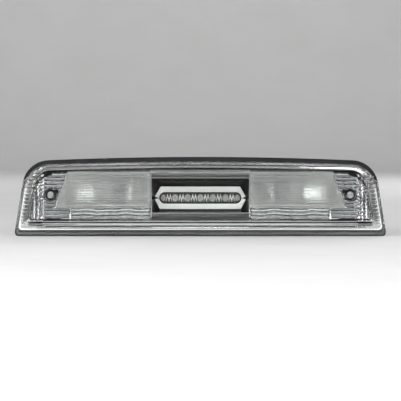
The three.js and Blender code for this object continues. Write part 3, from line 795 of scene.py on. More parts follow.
def housing():
    skin = flange_skin()
    made = Build()
    starts = made.rings([ring(o, y) for o, y, _ in skin], slots=[s for _, _, s in skin])
    for start, (o, y, slot) in ((starts[0], skin[0]), (starts[-1], skin[-1])):
        made.cap(start, lifted(patch_of(sides_of(o, RING_STEPS), RING_STEPS), y), slot)
    paint_flange(made.slots, [o for o, _, _ in skin])
    finishes = [M["housing"], M["chrome"], M["bright"], M["satin"]]
    shell = solid("rear_housing", made, finishes)

    foot, tip = PAN_BACK - 1, PAN_BACK + RIB_TALL
    for x in RIB_PLACES:
        rib = block("rib", (x - RIB_HALF, foot, RIB_LOW), (x + RIB_HALF, tip, RIB_HIGH))
        boolean(shell, "UNION", rib)
    for z in (RIB_LOW, RIB_HIGH):
        rib = block("long_rib", (-RIB_END, foot, z - RIB_HALF), (RIB_END, tip, z + RIB_HALF))
        boolean(shell, "UNION", rib)
    for _, s in SIDES:
        screw_x, bulb_x = s * SCREW_X, s * BULB_X
        boss = turned(rounded([[BOSS_R, SEAT_Y], [BOSS_R, 0], [3.0, 0]], 0.5), screw_x, 0)
        collar = bar("collar", COLLAR_R, PAN_BACK - WALL + 1, COLLAR_END, bulb_x, BULB_Z, ROUND)
        boolean(shell, "UNION", solid("boss", boss), collar)
        boolean(
            shell, "DIFFERENCE",
            bar("inside", COLLAR_BORE, PAN_BACK, COLLAR_END + 1, bulb_x, BULB_Z, ROUND),
            bar("hole", HOLDER_HOLE, *THROUGH, bulb_x, BULB_Z, ROUND),
        )
        for i in range(3):
            turn = -(math.pi / 2 + i * 2 * math.pi / 3)
            low, high = (0, THROUGH[0], -LUG_HALF), (LUG_REACH, THROUGH[1], LUG_HALF)
            boolean(shell, "DIFFERENCE", block("notch", low, high, turn, (bulb_x, BULB_Z)))
        boolean(
            shell, "DIFFERENCE",
            bar("screw", 3.2, SEAT_Y - 1, 1, screw_x, 0),
            bar("vent", VENT_R, 8, 15, s * VENT_X, VENT_Z, 24),
        )
        for x, z in REFLECTOR_BOSSES:
            boolean(shell, "UNION", bar("pad", PAD_R, PAN_BACK - 1, PAN_BACK + 0.2, s * x, z, 32))
            boolean(shell, "DIFFERENCE", bar("pilot", PILOT_R, 8, 15, s * x, z, 16))
    boolean(shell, "DIFFERENCE", block("inlet", (-8.8, 8, -19.3), (8.8, 16, -8.7)))
    join_mesh(shell, end_bars().mesh("end_bars"))
    piece("rear_housing", shell, None, "housing", "housing_plastic")


def end_bars():
    """Half-round bars on the flange, behind the lens's end walls, in satin in place of chrome as a
    painted highlight.
    """
    made = Build()
    side = runs(LENS.inset(BARS_FROM))[1][::-1]
    inner = runs(FACE.inset(0.5))[1][::-1]
    a = np.linspace(0, math.pi, 9)
    for level in (np.arange(-8, 6) + 0.5) * FLUTE:
        ends = [float(np.interp(level, edge[:, 1], edge[:, 0])) for edge in (inner, side)]
        y = FLANGE_FRONT + 0.4 - BAR_RISE * np.sin(a)
        section = np.column_stack([np.zeros(len(a)), y, level + BAR_HALF * np.cos(a)])
        for s in (-1, 1):
            made.rod([section + [s * x, 0, 0] for x in ends])
    # satin on the bars: a painted highlight
    made.slots = [GLINT_SATIN] * len(made.faces)
    return made


def join_mesh(ob, data):
    """Adds a mesh to an object's own, with its face materials kept."""
    with edited(ob.data) as made:
        made.from_mesh(data)


def lens_seal():
    low, high = cad("lens_seal")
    y0, y1 = high[1], low[1]
    middle = (SEAL_FROM + SEAL_TO) / 2
    profile = [
        (SEAL_FROM, y0), (SEAL_FROM - 0.3, (y0 + y1) / 2), (SEAL_FROM + 0.3, y1 + 0.1),
        (middle, y1 - 0.05), (SEAL_TO - 0.3, y1 + 0.1), (SEAL_TO + 0.3, (y0 + y1) / 2),
        (SEAL_TO, y0),
    ]
    made = Build()
    made.rings([ring(LENS.inset(d), y) for d, y in profile], closed=True)
    piece("sealing_bead", made, M["bead"], "lens_seal", "sealant", angle=60)


# ---------- outer lens

FOLD_AT = 0.46
FOLD_GLINT = (0.42, 0.5)  # a strip of frost along the fold: a painted highlight for its bright line
FOLD_GLINT_TOP = 8.0  # the painted highlight stops at this height, part way up the ends
FLUTED_FROM = 186.0  # the lens has optics outboard of this
OPTIC_HEIGHT = 0.75
BEAD_HEIGHT = 0.9  # of the beads down the inside of the end walls
FACE_THICK = 2.5
TUBE_END = SEAT_Y - 2.6

# the lens's section as (t, sink, offset), which lens_ring explains
LENS_OUTSIDE = np.array([
    (0.0, 1.0, 0.0), (0.0, 1.0, -1.7), (0.03, 1.0, -2.1), (0.2, 1.0, -2.2), (0.38, 1.0, -2.2),
    (0.42, 1.0, -3.2), (0.47, 1.0, -3.6), (0.51, 1.0, -3.1), (0.56, 0.93, -3.6),
    (0.7, 0.5, -0.9), (0.86, 0.08, 2.2), (0.93, 0.0, 1.5), (0.97, 0.0, 0.5), (1.0, 0.0, 0.0),
])
LENS_INSIDE = np.array([
    (0.52, 1.0, 0.0), (0.52, 1.0, -2.6), (0.6, 0.8, -1.8), (0.72, 0.45, 1.0),
    (0.86, 0.08, 4.0), (0.93, 0.0, 3.8), (1.0, 0.0, 2.5),
])


def skirt(t):
    """The lens's outline part way from its rim (0) over the fold (FOLD_AT) to its face (1)."""
    if t < FOLD_AT:
        return LENS.towards(FOLD, t / FOLD_AT)
    return FOLD.towards(FACE, (t - FOLD_AT) / (1 - FOLD_AT))


def smooth_curve(points, per):
    """A Catmull-Rom curve through the points, ending at the first and last of them."""
    p = np.vstack([2 * points[0] - points[1], points, 2 * points[-1] - points[-2]])
    made = []
    for k in range(1, len(p) - 2):
        for t in np.linspace(0, 1, per, endpoint=False):
            made.append(
                0.5 * (2 * p[k] + (p[k + 1] - p[k - 1]) * t
                       + (2 * p[k - 1] - 5 * p[k] + 4 * p[k + 1] - p[k + 2]) * t**2
                       + (3 * p[k] - p[k - 1] - 3 * p[k + 1] + p[k + 2]) * t**3)
            )
    return np.array(made + [p[-2]])


def lens_ring(t, sink, offset, inset=0.0, beads=False):
    """A ring of the lens: t runs from its rim to the edge of its face, sink from the face's depth
    to the rear plane."""
    flat = ring_of(sides_of(skirt(t).inset(inset), LENS_STEPS))
    if beads:
        along = np.roll(flat, -1, axis=0) - np.roll(flat, 1, axis=0)
        inwards = np.column_stack([-along[:, 1], along[:, 0]])
        inwards /= np.linalg.norm(inwards, axis=1)[:, None]
        reach = smoothstep((np.abs(flat[:, 0]) - FLUTED_FROM) / 4)
        reach = reach * smoothstep((flat[:, 1] - FACE.bottom + 2) / 3)
        flat = flat + inwards * (BEAD_HEIGHT * lenslet(flat[:, 1], FLUTE) * reach)[:, None]
    x, z = flat.T
    y = lerp(face_y(x, z), LENS_REAR, sink) + offset
    return np.column_stack([x, y, z])


def pillow(x, z):
    """Height of the optics moulded on the rear of the lens face, near its ends."""
    out = np.abs(x) - FLUTED_FROM
    return OPTIC_HEIGHT * lenslet(z, FLUTE) * lenslet(out, FLUTE * 1.25) * smoothstep(out / 3)


def lens_shell():
    made = Build()
    path = smooth_curve(LENS_OUTSIDE, 3)
    # faces along the fold take the frost: a painted highlight
    on_fold = [FOLD_GLINT[0] <= t < FOLD_GLINT[1] for t, _, _ in path]
    outs = made.rings([lens_ring(*p) for p in path], slots=on_fold)
    heights = np.vstack(made.points)[:, 2]
    made.slots = [
        int(on_glint and heights[face[0]] < FOLD_GLINT_TOP)
        for face, on_glint in zip(made.faces, made.slots)
    ]
    inner = [
        lens_ring(*p, inset=WALL, beads=k > 2) for k, p in enumerate(smooth_curve(LENS_INSIDE, 4))
    ]
    ins = made.rings(inner)
    made.add_faces(band_faces(outs[0], ins[0], len(inner[0])))
    made.cap(outs[-1], lifted(patch_of(sides_of(FACE, LENS_STEPS), LENS_STEPS), face_y))

    def rear(x, z):
        return face_y(x, z) + FACE_THICK + pillow(x, z) * edge_fade(x, z)

    inside = patch_of(sides_of(FACE.inset(WALL), LENS_STEPS), LENS_STEPS)
    made.cap(ins[-1], lifted(inside, rear))
    return made.mesh("clear_lens")


def outer_lens():
    lens = new_object("clear_lens", lens_shell(), [M["lens"], M["frost"]])
    way_in = [
        [WELL_BORE + 1.2, FACE_Y], [WELL_BORE + 1.2, FACE_Y + 3.2], [WELL_BORE, FACE_Y + 4.6],
        [WELL_BORE, TUBE_END + 1],
    ]
    for _, s in SIDES:
        tube = bar("tube", WELL_OUTER, FACE_Y + 5.5, TUBE_END, s * SCREW_X, 0, ROUND)
        boolean(lens, "UNION", tube)
        bore = solid("bore", turned(rounded(way_in, 0.8), s * SCREW_X, 0, ROUND))
        boolean(lens, "DIFFERENCE", bore)
    piece("clear_lens", lens, None, "outer_lens", "clear_lens")


def edge_fade(x, z):
    """1 inside the face, falling to 0 at its edge."""
    bottom = z - (FACE.bottom + WALL)
    top = (FACE.top - WALL - FACE.drop * (x / FACE.crown_x) ** 2) - z
    return smoothstep(np.minimum(bottom, top) / 1.5)


# ---------- cargo lamps


def bowl_depth(x, z):
    """Depth of the right-hand reflector's front inboard of its rim."""
    lid = face_y(x, z) + BEHIND_FACE
    shelf = lid + 0.2 * (z - FACE.bottom)
    dx = x - BULB_X
    focus = np.where(dx < 0, FOCUS_IN, FOCUS_OUT)
    bowl = BOWL_DEEP - dx**2 / (4 * focus) - (z - BULB_Z) ** 2 / (4 * FOCUS_UP)
    up = smoothstep((z - (BOWL_TOP - BOWL_LEDGE)) / BOWL_LEDGE)
    down = smoothstep((BOWL_BOTTOM + BOWL_LEDGE - z) / BOWL_LEDGE)
    return np.maximum(lerp(lerp(bowl, lid, up), shelf, down), lid)


def end_plain(x):
    """Depth of its end, outboard of the rim, without the flutes."""
    return END_Y - END_RISE * np.clip((x - END_X0) / (END_X1 - END_X0), 0, 1)


def end_depth(x, z):
    """Depth of the fluted end: long flutes, then a seam and a field of pillows."""
    wave = 0.35 * np.sin(x / 5.3 + 0.8 * np.sin(z / 9))
    flutes = 0.8 * lenslet(z + wave, FLUTE) * smoothstep((END_X0 - 1.2 - x) / 0.8)
    pillows = 0.6 * lenslet(z, FLUTE) * lenslet(x - END_X0, FLUTE) * smoothstep((x - END_X0) / 0.8)
    return end_plain(x) - flutes - pillows


def reflector_mesh():
    """The right-hand reflector, as rows from its bottom edge up to the crowned top one."""
    edge = FACE.inset(4.2)
    rows, inboard, outboard = 150, 70, 56
    low, tall = edge.bottom, edge.top - edge.bottom
    boundary = np.vstack(runs(edge))
    right = boundary[np.argmax(boundary[:, 0]) :: -1]
    front, rear = [], []
    for z in np.linspace(low, edge.top, rows + 1):
        end = max(float(np.interp(z, right[:, 1], right[:, 0])), edge.crown_x - 1)
        rim = float(rim_x(z))
        bowl_x = lerp(BOWL_INNER_X, rim, np.linspace(0, 1, inboard + 1))
        x = np.concatenate([bowl_x, lerp(rim + 0.5, end, np.linspace(0, 1, outboard + 1))])
        crown = np.minimum(edge.drop * (x / edge.crown_x) ** 2, edge.drop)
        zz = low + (z - low) * (tall - crown) / tall
        inside = np.arange(len(x)) <= inboard
        y = np.where(inside, bowl_depth(x, zz), end_depth(x, zz))
        back = np.where(inside, bowl_depth(x, zz), end_plain(x))
        front.append(np.column_stack([x, y, zz]))
        rear.append(np.column_stack([x, back + SKIN, zz]))
    made = Build()
    parts = [(np.s_[:, : inboard + 1], 0), (np.s_[:, inboard:], 1)]
    made.slab(np.array(front), np.array(rear), parts)
    return made.mesh("reflector")


def reflectors():
    # the outboard ends take the darker copy of the chrome: painted shade on the one reflector
    base = new_object("reflector_base", reflector_mesh(), [M["chrome"], M["end"]])
    boolean(
        base, "DIFFERENCE",
        bar("bulb_hole", BULB_HOLE, -10, 20, BULB_X, BULB_Z, ROUND),
        bar("well_hole", WELL_OUTER + 0.6, -40, 10, SCREW_X, 0, ROUND),
        block("keyway", (KEYWAY_X, -40, KEYWAY_Z[0]), (SCREW_X, 10, KEYWAY_Z[1])),
    )
    for x, z in REFLECTOR_BOSSES:
        front = float(bowl_depth(np.array(x), np.array(z)))
        boolean(base, "UNION", bar("boss", 3, front + 1.2, PAN_BACK - WALL - 0.3, x, z, 32))
        boolean(base, "DIFFERENCE", bar("pilot", 1.3, 1, 12, x, z, 16))
    left = new_object("left", mirrored(base.data, "cargo_reflector_left"), [])
    piece("cargo_reflector_left", left, None, "reflector_left", "reflector_chrome")
    piece("cargo_reflector_right", base, None, "reflector_right", "reflector_chrome")


TRAY_INNER, TRAY_TOP, TRAY_BOTTOM, TRAY_CLEAR, TRAY_WALL = 58.9, 28.4, -29.8, 0.8, 1.4
TRAY_FRONT, TRAY_THICK, TRAY_DEEP, TRAY_EDGE = 3.4, 2.2, 5.4, 0.6
STEP = 0.6
RIB_HEIGHT, RIBS_TOP, COARSE_HEIGHT, FADE = 0.9, 26.4, 1.5, 0.6
TRAY_STEPS = Steps(np.linspace(0, 1, 61), np.linspace(0, 1, 181))


def tray_sides(edge):
    """The tray's four sides, `edge` inside its outline. The outer one steps in below the bowl."""
    bottom, top, inner = TRAY_BOTTOM + edge, TRAY_TOP - edge, TRAY_INNER + edge
    notch = BOWL_BOTTOM + edge
    u, rows = TRAY_STEPS.u, len(TRAY_STEPS.v)
    below = round((notch - bottom) / (top - bottom) * (rows - 1))
    z = np.concatenate([
        np.linspace(bottom, notch - STEP, below), np.linspace(notch, top, rows - below),
    ])
    outer = np.where(z < notch, RIM_FOOT, RIM_X - RIM_LEAN * z) - TRAY_CLEAR - edge

    def row(end, level):
        return np.column_stack([lerp(inner, end, u), np.full(len(u), level)])

    side = np.column_stack([np.full_like(z, inner), z])
    return row(outer[0], bottom), np.column_stack([outer, z]), row(outer[-1], top), side


def tray_optics(x, z):
    """Height of the moulding on the rear of the cargo lens: fine ribs, with coarse flutes below."""
    ribs = RIB_HEIGHT * lenslet(z, RIB) * smoothstep((z - BOWL_BOTTOM) / FADE)
    ribs = ribs * smoothstep((RIBS_TOP - z) / FADE)
    wave = 0.6 * np.sin(x / 8.0) + 0.3 * np.sin(x / 3.7)
    flutes = COARSE_HEIGHT * lenslet(z + wave - TRAY_BOTTOM, FLUTE)
    flutes = flutes * smoothstep((BOWL_BOTTOM - z) / FADE)
    return ribs + flutes * smoothstep((z - TRAY_BOTTOM - TRAY_WALL) / 0.8)


def behind_face(extra):
    return lambda x, z: face_y(x, z) + extra


def cargo_lenses():
    made = Build()
    soft = TRAY_EDGE
    profile = [(0, TRAY_DEEP), (0, soft), (soft * 0.3, soft * 0.3), (soft, 0)]
    hollow = [(TRAY_WALL, TRAY_DEEP), (TRAY_WALL, TRAY_THICK)]
    outs, ins = (
        made.rings([lifted(ring_of(tray_sides(e)), behind_face(TRAY_FRONT + y)) for e, y in shape])
        for shape in (profile, hollow)
    )
    made.add_faces(band_faces(outs[0], ins[0], len(ring_of(tray_sides(0)))))
    made.cap(outs[-1], lifted(patch_of(tray_sides(soft), TRAY_STEPS), behind_face(TRAY_FRONT)))
    plain = behind_face(TRAY_FRONT + TRAY_THICK)
    rear = patch_of(tray_sides(TRAY_WALL), TRAY_STEPS)
    made.cap(ins[-1], lifted(rear, lambda x, z: plain(x, z) + tray_optics(x, z)))
    heights = np.vstack(made.points)[:, 2]
    made.slots = [int(heights[list(face)].mean() < BOWL_BOTTOM) for face in made.faces]
    right = made.mesh("ribbed_lens_right")
    right.materials.append(M["inner_lens"])
    right.materials.append(M["optic"])
    left = mirrored(right, "ribbed_lens_left")
    for side, data in (("left", left), ("right", right)):
        lens = new_object("lens", data, [])
        piece(f"ribbed_lens_{side}", lens, None, f"cargo_lens_{side}", "clear_optic")


def bulbs():
    """Wedge-base bulbs: a hollow glass with a domed tip, pinched to a flat base."""
    r, tip, wall, dome = 7.6, -21.0, 0.8, 6
    a = np.linspace(0, math.pi / 2, 10)
    outer = [[r * math.sin(t), tip + dome * (1 - math.cos(t))] for t in a]
    outer += rounded([[r, -12], [r, -4], [5.2, 1.2], [3.2, 2.4]], 3.0, 6) + [[0.0, 2.4]]
    inner = [[(r - wall) * math.sin(t), tip + wall + dome * (1 - math.cos(t))] for t in a]
    inner += rounded([[r - wall, -12], [r - wall, -4], [4.4, 0.6], [0.0, 1.2]], 2.5, 6)
    for side, s in SIDES:
        body = f"bulb_holder_{side}_body"
        x = s * BULB_X
        name = f"glass_envelope_{side}"
        envelope = solid(name, turned(outer, x, BULB_Z, 40), M["glass"])
        wedge = block("wedge", (-7, 1.6, -1.3), (7, 10.4, 1.3), 0, (x, BULB_Z))
        edges = wedge.modifiers.new("round", "BEVEL")
        edges.width, edges.segments = 0.8 * MM, 3
        boolean(envelope, "UNION", evaluated(wedge))
        boolean(envelope, "DIFFERENCE", solid("hollow", turned(inner, x, BULB_Z, 40)))
        piece(name, envelope, None, f"cargo_bulb_{side}", "bulb_glass", body, 40)
        filament(side, x, body)


def tube_along(path, radius, sides=8):
    """A closed tube along a list of points."""
    tangent = np.gradient(path, axis=0)
    tangent /= np.linalg.norm(tangent, axis=1)[:, None]
    askew = np.array([0.31, 0.17, 0.93])
    a = np.cross(tangent, askew)
    a /= np.linalg.norm(a, axis=1)[:, None]
    b = np.cross(tangent, a)
    turn = full_turn(sides)
    made = Build()
    made.rod([
        p + radius * (np.outer(np.cos(turn), u) + np.outer(np.sin(turn), w))
        for p, u, w in zip(path, a, b)
    ])
    return made


def filament(side, x, body):
    """The support wires and the coil between them, as one run of wire."""
    leg, depth, turns, coil_r = 2.4, -9.6, 14, 0.55
    t = np.linspace(0, 1, turns * 10 + 1)
    coil = np.column_stack([
        x - leg + 2 * leg * t,
        depth + coil_r * np.cos(2 * math.pi * turns * t) - coil_r,
        BULB_Z + coil_r * np.sin(2 * math.pi * turns * t),
    ])
    first = np.linspace([x - leg, 0, BULB_Z], coil[0], 8)[:-1]
    last = np.linspace(coil[-1], [x + leg, 0, BULB_Z], 8)[1:]
    wire = tube_along(np.vstack([first, coil, last]), 0.16)
    piece(f"coil_{side}", wire, M["tungsten"], f"filament_{side}", "filament_wire", body, 60)


# ---------- brake light

WINDOW_X, WINDOW_TOP, WINDOW_BOTTOM = 58.0, 20.0, -19.6
HEX_TIP, HEX_TOP_X, HEX_FOOT_X, HEX_TOP, HEX_BOTTOM = 56.0, 48.0, 49.0, 10.9, -17.4
HEXAGON = np.array([
    (-HEX_TOP_X, HEX_TOP), (HEX_TOP_X, HEX_TOP), (HEX_TIP, SLOT_Z),
    (HEX_FOOT_X, HEX_BOTTOM), (-HEX_FOOT_X, HEX_BOTTOM), (-HEX_TIP, SLOT_Z),
])
CENTRE = np.array([0, SLOT_Z])
EDGE_POINTS = 16  # on each side of a hexagon, and on each sixth of a slot
BEZEL_FRONT, BEZEL_REAR, BEZEL_THROAT = -14.4, -9.3, -11.6
NOTCH_X, NOTCH_Z = 50.8, 2.0
TROUGH_THICK = 1.6
BROW = [
    [30.6, -24.4], [29.8, -26.4], [26.0, -27.6], [23.2, -27.8], [22.2, -24.8], [20.6, -24.6],
    [WINDOW_TOP, -23.2],
]
SILL = [
    [WINDOW_BOTTOM, -19.6], [-20.3, -21.2], [-21.3, -21.3], [-22.1, -19.9], [-25.0, -20.6],
    [-27.2, -22.9], [-29.6, -26.4],
]


def along_edges(corners):
    """Points along the edges of a polygon."""
    return np.vstack([
        np.linspace(p, q, EDGE_POINTS, endpoint=False)
        for p, q in zip(corners, np.roll(corners, -1, axis=0))
    ])


def trough_painted_band(level):
    """The finish of the brow or sill at that height, painted light and shade: a satin crest as
    painted highlight, grey chrome bands as painted light, dull silver between as painted shade.
    """
    if -21.5 < level < -20.5:
        return 3
    return 1 if level > 26.5 or 20 < level < 21.9 else 2


def surround():
    """The dark trough: a rounded brow, a faceted recess down to the bezel, and a stepped sill."""
    made = Build()
    xs = np.linspace(-WINDOW_X, WINDOW_X, 25)
    for profile in (rounded(BROW, 1.0, 6), rounded(SILL, 0.8, 5)):
        front = np.array([[[x, y, z] for x in xs] for z, y in profile])
        levels = 0.5 * (front[1:, 0, 2] + front[:-1, 0, 2])
        parts = [(np.s_[row : row + 2], trough_painted_band(z)) for row, z in enumerate(levels)]
        made.slab(front, front + [0, TROUGH_THICK, 0], parts, 1)
    x = WINDOW_X - 0.6
    window = along_edges(np.array([
        (-x, WINDOW_TOP), (x, WINDOW_TOP), (x, SLOT_Z),
        (x, WINDOW_BOTTOM), (-x, WINDOW_BOTTOM), (-x, SLOT_Z),
    ]))
    hexagon = along_edges(HEXAGON)
    slot = stadium(SLOT_HALF - 0.2, SLOT_R - 0.2)
    made.rings([
        lifted(window, -23.6), lifted(hexagon, -9.0), lifted(slot, -9.0), lifted(slot, -7.0),
        lifted((hexagon - CENTRE) * 1.02 + CENTRE, -7.0),
        lifted((window - CENTRE) * [1.01, 1.06] + CENTRE, -22.4),
    ], closed=True)
    # the brow and sill get bands of painted light and shade by height
    finishes = [M["smoke"], M["brow"], M["dull"], M["satin"]]
    piece("dark_surround", made, finishes, "brake_surround", "smoked_chrome", angle=20)


def stadium(half, r):
    """A slot's outline in step with a hexagon's six edges, clockwise from its upper left corner."""
    flat = half - r
    q = math.pi / 2

    def line(end, z):
        x = np.linspace(-end, end, EDGE_POINTS, endpoint=False)
        return np.column_stack([x, np.full(EDGE_POINTS, z)])

    def quarter(side, start):
        return arc(side * flat, SLOT_Z, r, start, start - q, EDGE_POINTS + 1)[:-1]

    return np.vstack([
        line(flat, SLOT_Z + r), quarter(1, q), quarter(1, 0),
        line(-flat, SLOT_Z - r), quarter(-1, -q), quarter(-1, -2 * q),
    ])


def bezel_rim(shrink):
    """The bezel's hexagon with a notch in each tip, a little smaller."""
    x, z = along_edges(HEXAGON).T
    pull = smoothstep((NOTCH_Z - np.abs(z - SLOT_Z)) / NOTCH_Z) * (np.abs(x) > NOTCH_X)
    x = np.sign(x) * lerp(np.abs(x), NOTCH_X, pull)
    return np.column_stack([
        x * (1 - shrink / HEX_TIP), SLOT_Z + (z - SLOT_Z) * (1 - shrink / (HEX_TOP - SLOT_Z)),
    ])


def bezel():
    """A satin hexagonal funnel, its throat in smoked chrome as painted shade."""
    slot = stadium(SLOT_HALF, SLOT_R)
    lip = stadium(SLOT_HALF + 0.5, SLOT_R + 0.5)
    rings = [
        lifted(bezel_rim(0.6), BEZEL_REAR), lifted(bezel_rim(0.6), BEZEL_FRONT + 0.7),
        lifted(bezel_rim(0.8), BEZEL_FRONT + 0.2), lifted(bezel_rim(1.3), BEZEL_FRONT),
        lifted(lip, BEZEL_THROAT - 0.2), lifted(slot, BEZEL_THROAT + 0.4), lifted(slot, BEZEL_REAR),
    ]
    made = Build()
    # the throat faces get smoked chrome: painted shade in the gap round the optic
    made.rings(rings, closed=True, slots=[0, 0, 0, 0, 1, 1, 0])
    finishes = [M["satin"], M["smoke"]]
    piece("hexagonal_bezel", made, finishes, "brake_bezel", "satin_silver", angle=25)


OPTIC_STEPS = Steps(np.linspace(0, 1, 385), np.linspace(0, 1, 41))
OPTIC_REAR, OPTIC_EDGE, OPTIC_FACE = -7.0, -10.4, -11.0
DOME_X, DOME_Z, DOME_HEIGHT = 3.6, 4.4, 2.4
PRISM_PITCH, PRISM_RISE, PRISM_WIDE, PRISM_HEIGHT = 3.4, 2.9, 0.62, 1.3


def optic_sides(half, r):
    """A stadium's outline as four sides, with the middles of its round ends left and right."""
    flat = half - r
    eighth = math.pi / 4

    def long_side(sign):
        end = arc(flat, 0, r, math.pi / 2, eighth, 20) * [1, sign] + [0, SLOT_Z]
        return resample(np.vstack([end[::-1] * [-1, 1], end]), OPTIC_STEPS.u)

    right = arc(flat, SLOT_Z, r, -eighth, eighth, len(OPTIC_STEPS.v))
    return long_side(-1), right, long_side(1), right * [-1, 1]


def dome_height(x, z):
    """Oval domes, one over each LED."""
    dx = x - np.clip(np.round(x / LED_PITCH), -3, 3) * LED_PITCH
    left = 1 - (dx / DOME_X) ** 2 - ((z - SLOT_Z) / DOME_Z) ** 2
    return DOME_HEIGHT * np.sqrt(np.clip(left, 0, 1))


def from_ridge(x, z):
    """Distance from the W-shaped prism ridges that stand between the domes."""
    px = x - (np.clip(np.floor(x / LED_PITCH), -3, 2) + 0.5) * LED_PITCH
    saw = np.abs(2 * np.mod(px / PRISM_PITCH, 1) - 1)
    off = np.abs(z - SLOT_Z - PRISM_RISE * (1 - 2 * saw))
    slope = 4 * PRISM_RISE / PRISM_PITCH
    return np.where(np.abs(px) < PRISM_PITCH, off / math.hypot(1, slope), PRISM_PITCH)


def brake_optic():
    """The clear bar, with frost on the ridges between its domes as painted glints."""
    def sides(inset):
        return optic_sides(SLOT_HALF - 1.2 - inset, SLOT_R - 1.2 - inset)

    def front(x, z):
        ridge = PRISM_HEIGHT * np.clip(1 - from_ridge(x, z) / PRISM_WIDE, 0, 1)
        return OPTIC_FACE - np.maximum(dome_height(x, z), ridge)

    whole, face = sides(0), sides(0.5)
    rings = [(whole, OPTIC_REAR), (whole, OPTIC_EDGE), (face, OPTIC_FACE)]
    made = Build()
    starts = made.rings([lifted(ring_of(s), y) for s, y in rings])
    made.cap(starts[0], lifted(patch_of(whole, OPTIC_STEPS), OPTIC_REAR))
    patch = patch_of(face, OPTIC_STEPS)
    made.cap(starts[-1], lifted(patch, front))
    middle = (patch[:-1, :-1] + patch[1:, 1:]) / 2
    # frost on the ridges stands in for their glints: painted highlight
    glint_faces = (from_ridge(*middle.T) < PRISM_WIDE) & (dome_height(*middle.T) < 0.3)
    made.slots[-glint_faces.size :] = map(int, glint_faces.T.ravel())
    piece("led_optic", made, [M["optic"], M["frost"]], "brake_optic", "clear_optic")


def leds():
    """White packages with a phosphor window."""
    a = full_turn(32) + math.pi / 4
    round_ring = np.column_stack([np.cos(a), np.sin(a)])
    square = round_ring * (np.sum(np.abs(round_ring) ** 8, axis=1) ** (-1 / 8))[:, None]
    for i in range(1, LEDS + 1):
        node = f"brake_led_{i}"
        low, high = cad(node)
        middle, half = (low + high)[[0, 2]] / 2, (high[0] - low[0]) / 2
        top = low[1]
        rings = [
            (square * half, high[1]), (square * half, top + 0.15), (square * half * 0.95, top),
            (round_ring * 1.45, top), (round_ring * 1.3, top + 0.35), (round_ring * 0.7, top + 0.3),
        ]
        made = Build()
        starts = made.rings([lifted(middle + p, y) for p, y in rings], slots=[0, 0, 0, 0, 1])
        made.fan(starts[0], len(a))
        made.fan(starts[-1], len(a), 1)
        piece(f"led_{i}", made, [M["package"], M["phosphor"]], node, "led_emitter")


# ---------- screws, holders, connectors

THREAD_STEPS = 8  # rings in one turn of a thread
DRIVE_TURN, DRIVE_WIDE, DRIVE_DEEP = 0.4, 0.22, 0.7  # the last two as shares of its arms' length


def threaded(x, z, head, r, y0, y1, pitch, depth, cross):
    """A screw turned about Y: head profile, then a shank from y0 to y1 with a helical thread and
    a point. The cross is cut only in a head that faces the front: in the others it stays inside."""
    a = full_turn(40)
    way = 1 if y1 > y0 else -1
    length = abs(y1 - y0)
    rows = max(int(length / pitch * THREAD_STEPS), THREAD_STEPS)
    rings = [circle(x, y, z, head_r, a) for head_r, y in head]
    for s in length * np.arange(rows + 1) / rows:
        to_tip = (length - s) / (r * 1.2)
        phase = np.mod(s / pitch - a / (2 * math.pi), 1.0)
        groove = depth * np.abs(2 * phase - 1) * max(min(1.0, s / pitch, to_tip), 0)
        rings.append(circle(x, y0 + way * s, z, (r - groove) * (0.35 + 0.65 * min(1.0, to_tip)), a))
    made = Build()
    made.rod(rings)
    screw = solid("screw", made, M["steel"])
    wide, top = cross * DRIVE_WIDE, head[0][1]
    for turn in (0, math.pi / 2):
        low, high = (-cross, top - 1, -wide), (cross, top + way * cross * DRIVE_DEEP, wide)
        boolean(screw, "DIFFERENCE", block("arm", low, high, turn + DRIVE_TURN, (x, z)))
    return screw


def screws():
    for side, s in SIDES:
        low, high = cad(f"mounting_screw_{side}")
        top, seat = low[1], SEAT_Y - 0.3
        head = [
            (2.2, top), (3.4, top + 0.25), (4.2, top + 1.0), (4.4, top + 1.8), (4.4, seat),
            (2.6, seat),
        ]
        made = threaded(s * SCREW_X, 0, head, 2.6, seat + 0.5, high[1], 1.0, 0.5, 2.3)
        piece(f"panel_screw_{side}", made, None, f"mounting_screw_{side}", "screw_steel")
        for place in ("inner", "outer"):
            node = f"reflector_screw_{side}_{place}"
            low, high = cad(node)
            x, z = (low[0] + high[0]) / 2, (low[2] + high[2]) / 2
            top, seat = high[1], high[1] - 2
            head = [
                (1.6, top), (2.4, top - 0.2), (2.9, top - 0.8), (3.0, top - 1.4), (3.0, seat),
                (1.0, seat),
            ]
            made = threaded(x, z, head, 1.05, seat - 0.3, low[1], 0.8, 0.2, 1.7)
            piece(f"self_tapper_{side}_{place}", made, None, node, "screw_steel")


# name, CAD node, edge radius, material, slot, steps across the edge
ON_HOLDERS = (
    ("twist_holder_{}", "bulb_holder_{}", 0.45, "holder", "holder_plastic", 3),
    ("holder_ring_{}", "holder_seal_{}", 0.4, "rubber", "seal_rubber", 3),
    ("bulb_contact_{}_a", "contact_{}_a", 0.12, "brass", "contact_brass", 2),
    ("bulb_contact_{}_b", "contact_{}_b", 0.12, "brass", "contact_brass", 2),
)
ON_BOTH_SIDES = (
    ("well_ring_{}", "well_seal_{}", 0.4, "rubber", "seal_rubber", 3),
    ("breather_cap_{}", "vent_cap_{}", 0.4, "rubber", "seal_rubber", 3),
    ("plug_blade_{}", "inlet_blade_{}", 0.1, "brass", "contact_brass", 2),
    ("board_fixing_{}", "board_screw_{}", 0.15, "steel", "screw_steel", 2),
)
IN_THE_MIDDLE = (
    ("plug_inlet", "brake_inlet", 0.5, "connector", "connector_plastic", 3),
    ("led_board", "brake_led_board", 0.15, "board", "board_mask", 2),
    ("regulator", "brake_regulator", 0.3, "epoxy", "chip_black", 2),
    ("diode", "brake_diode", 0.25, "epoxy", "chip_black", 2),
)


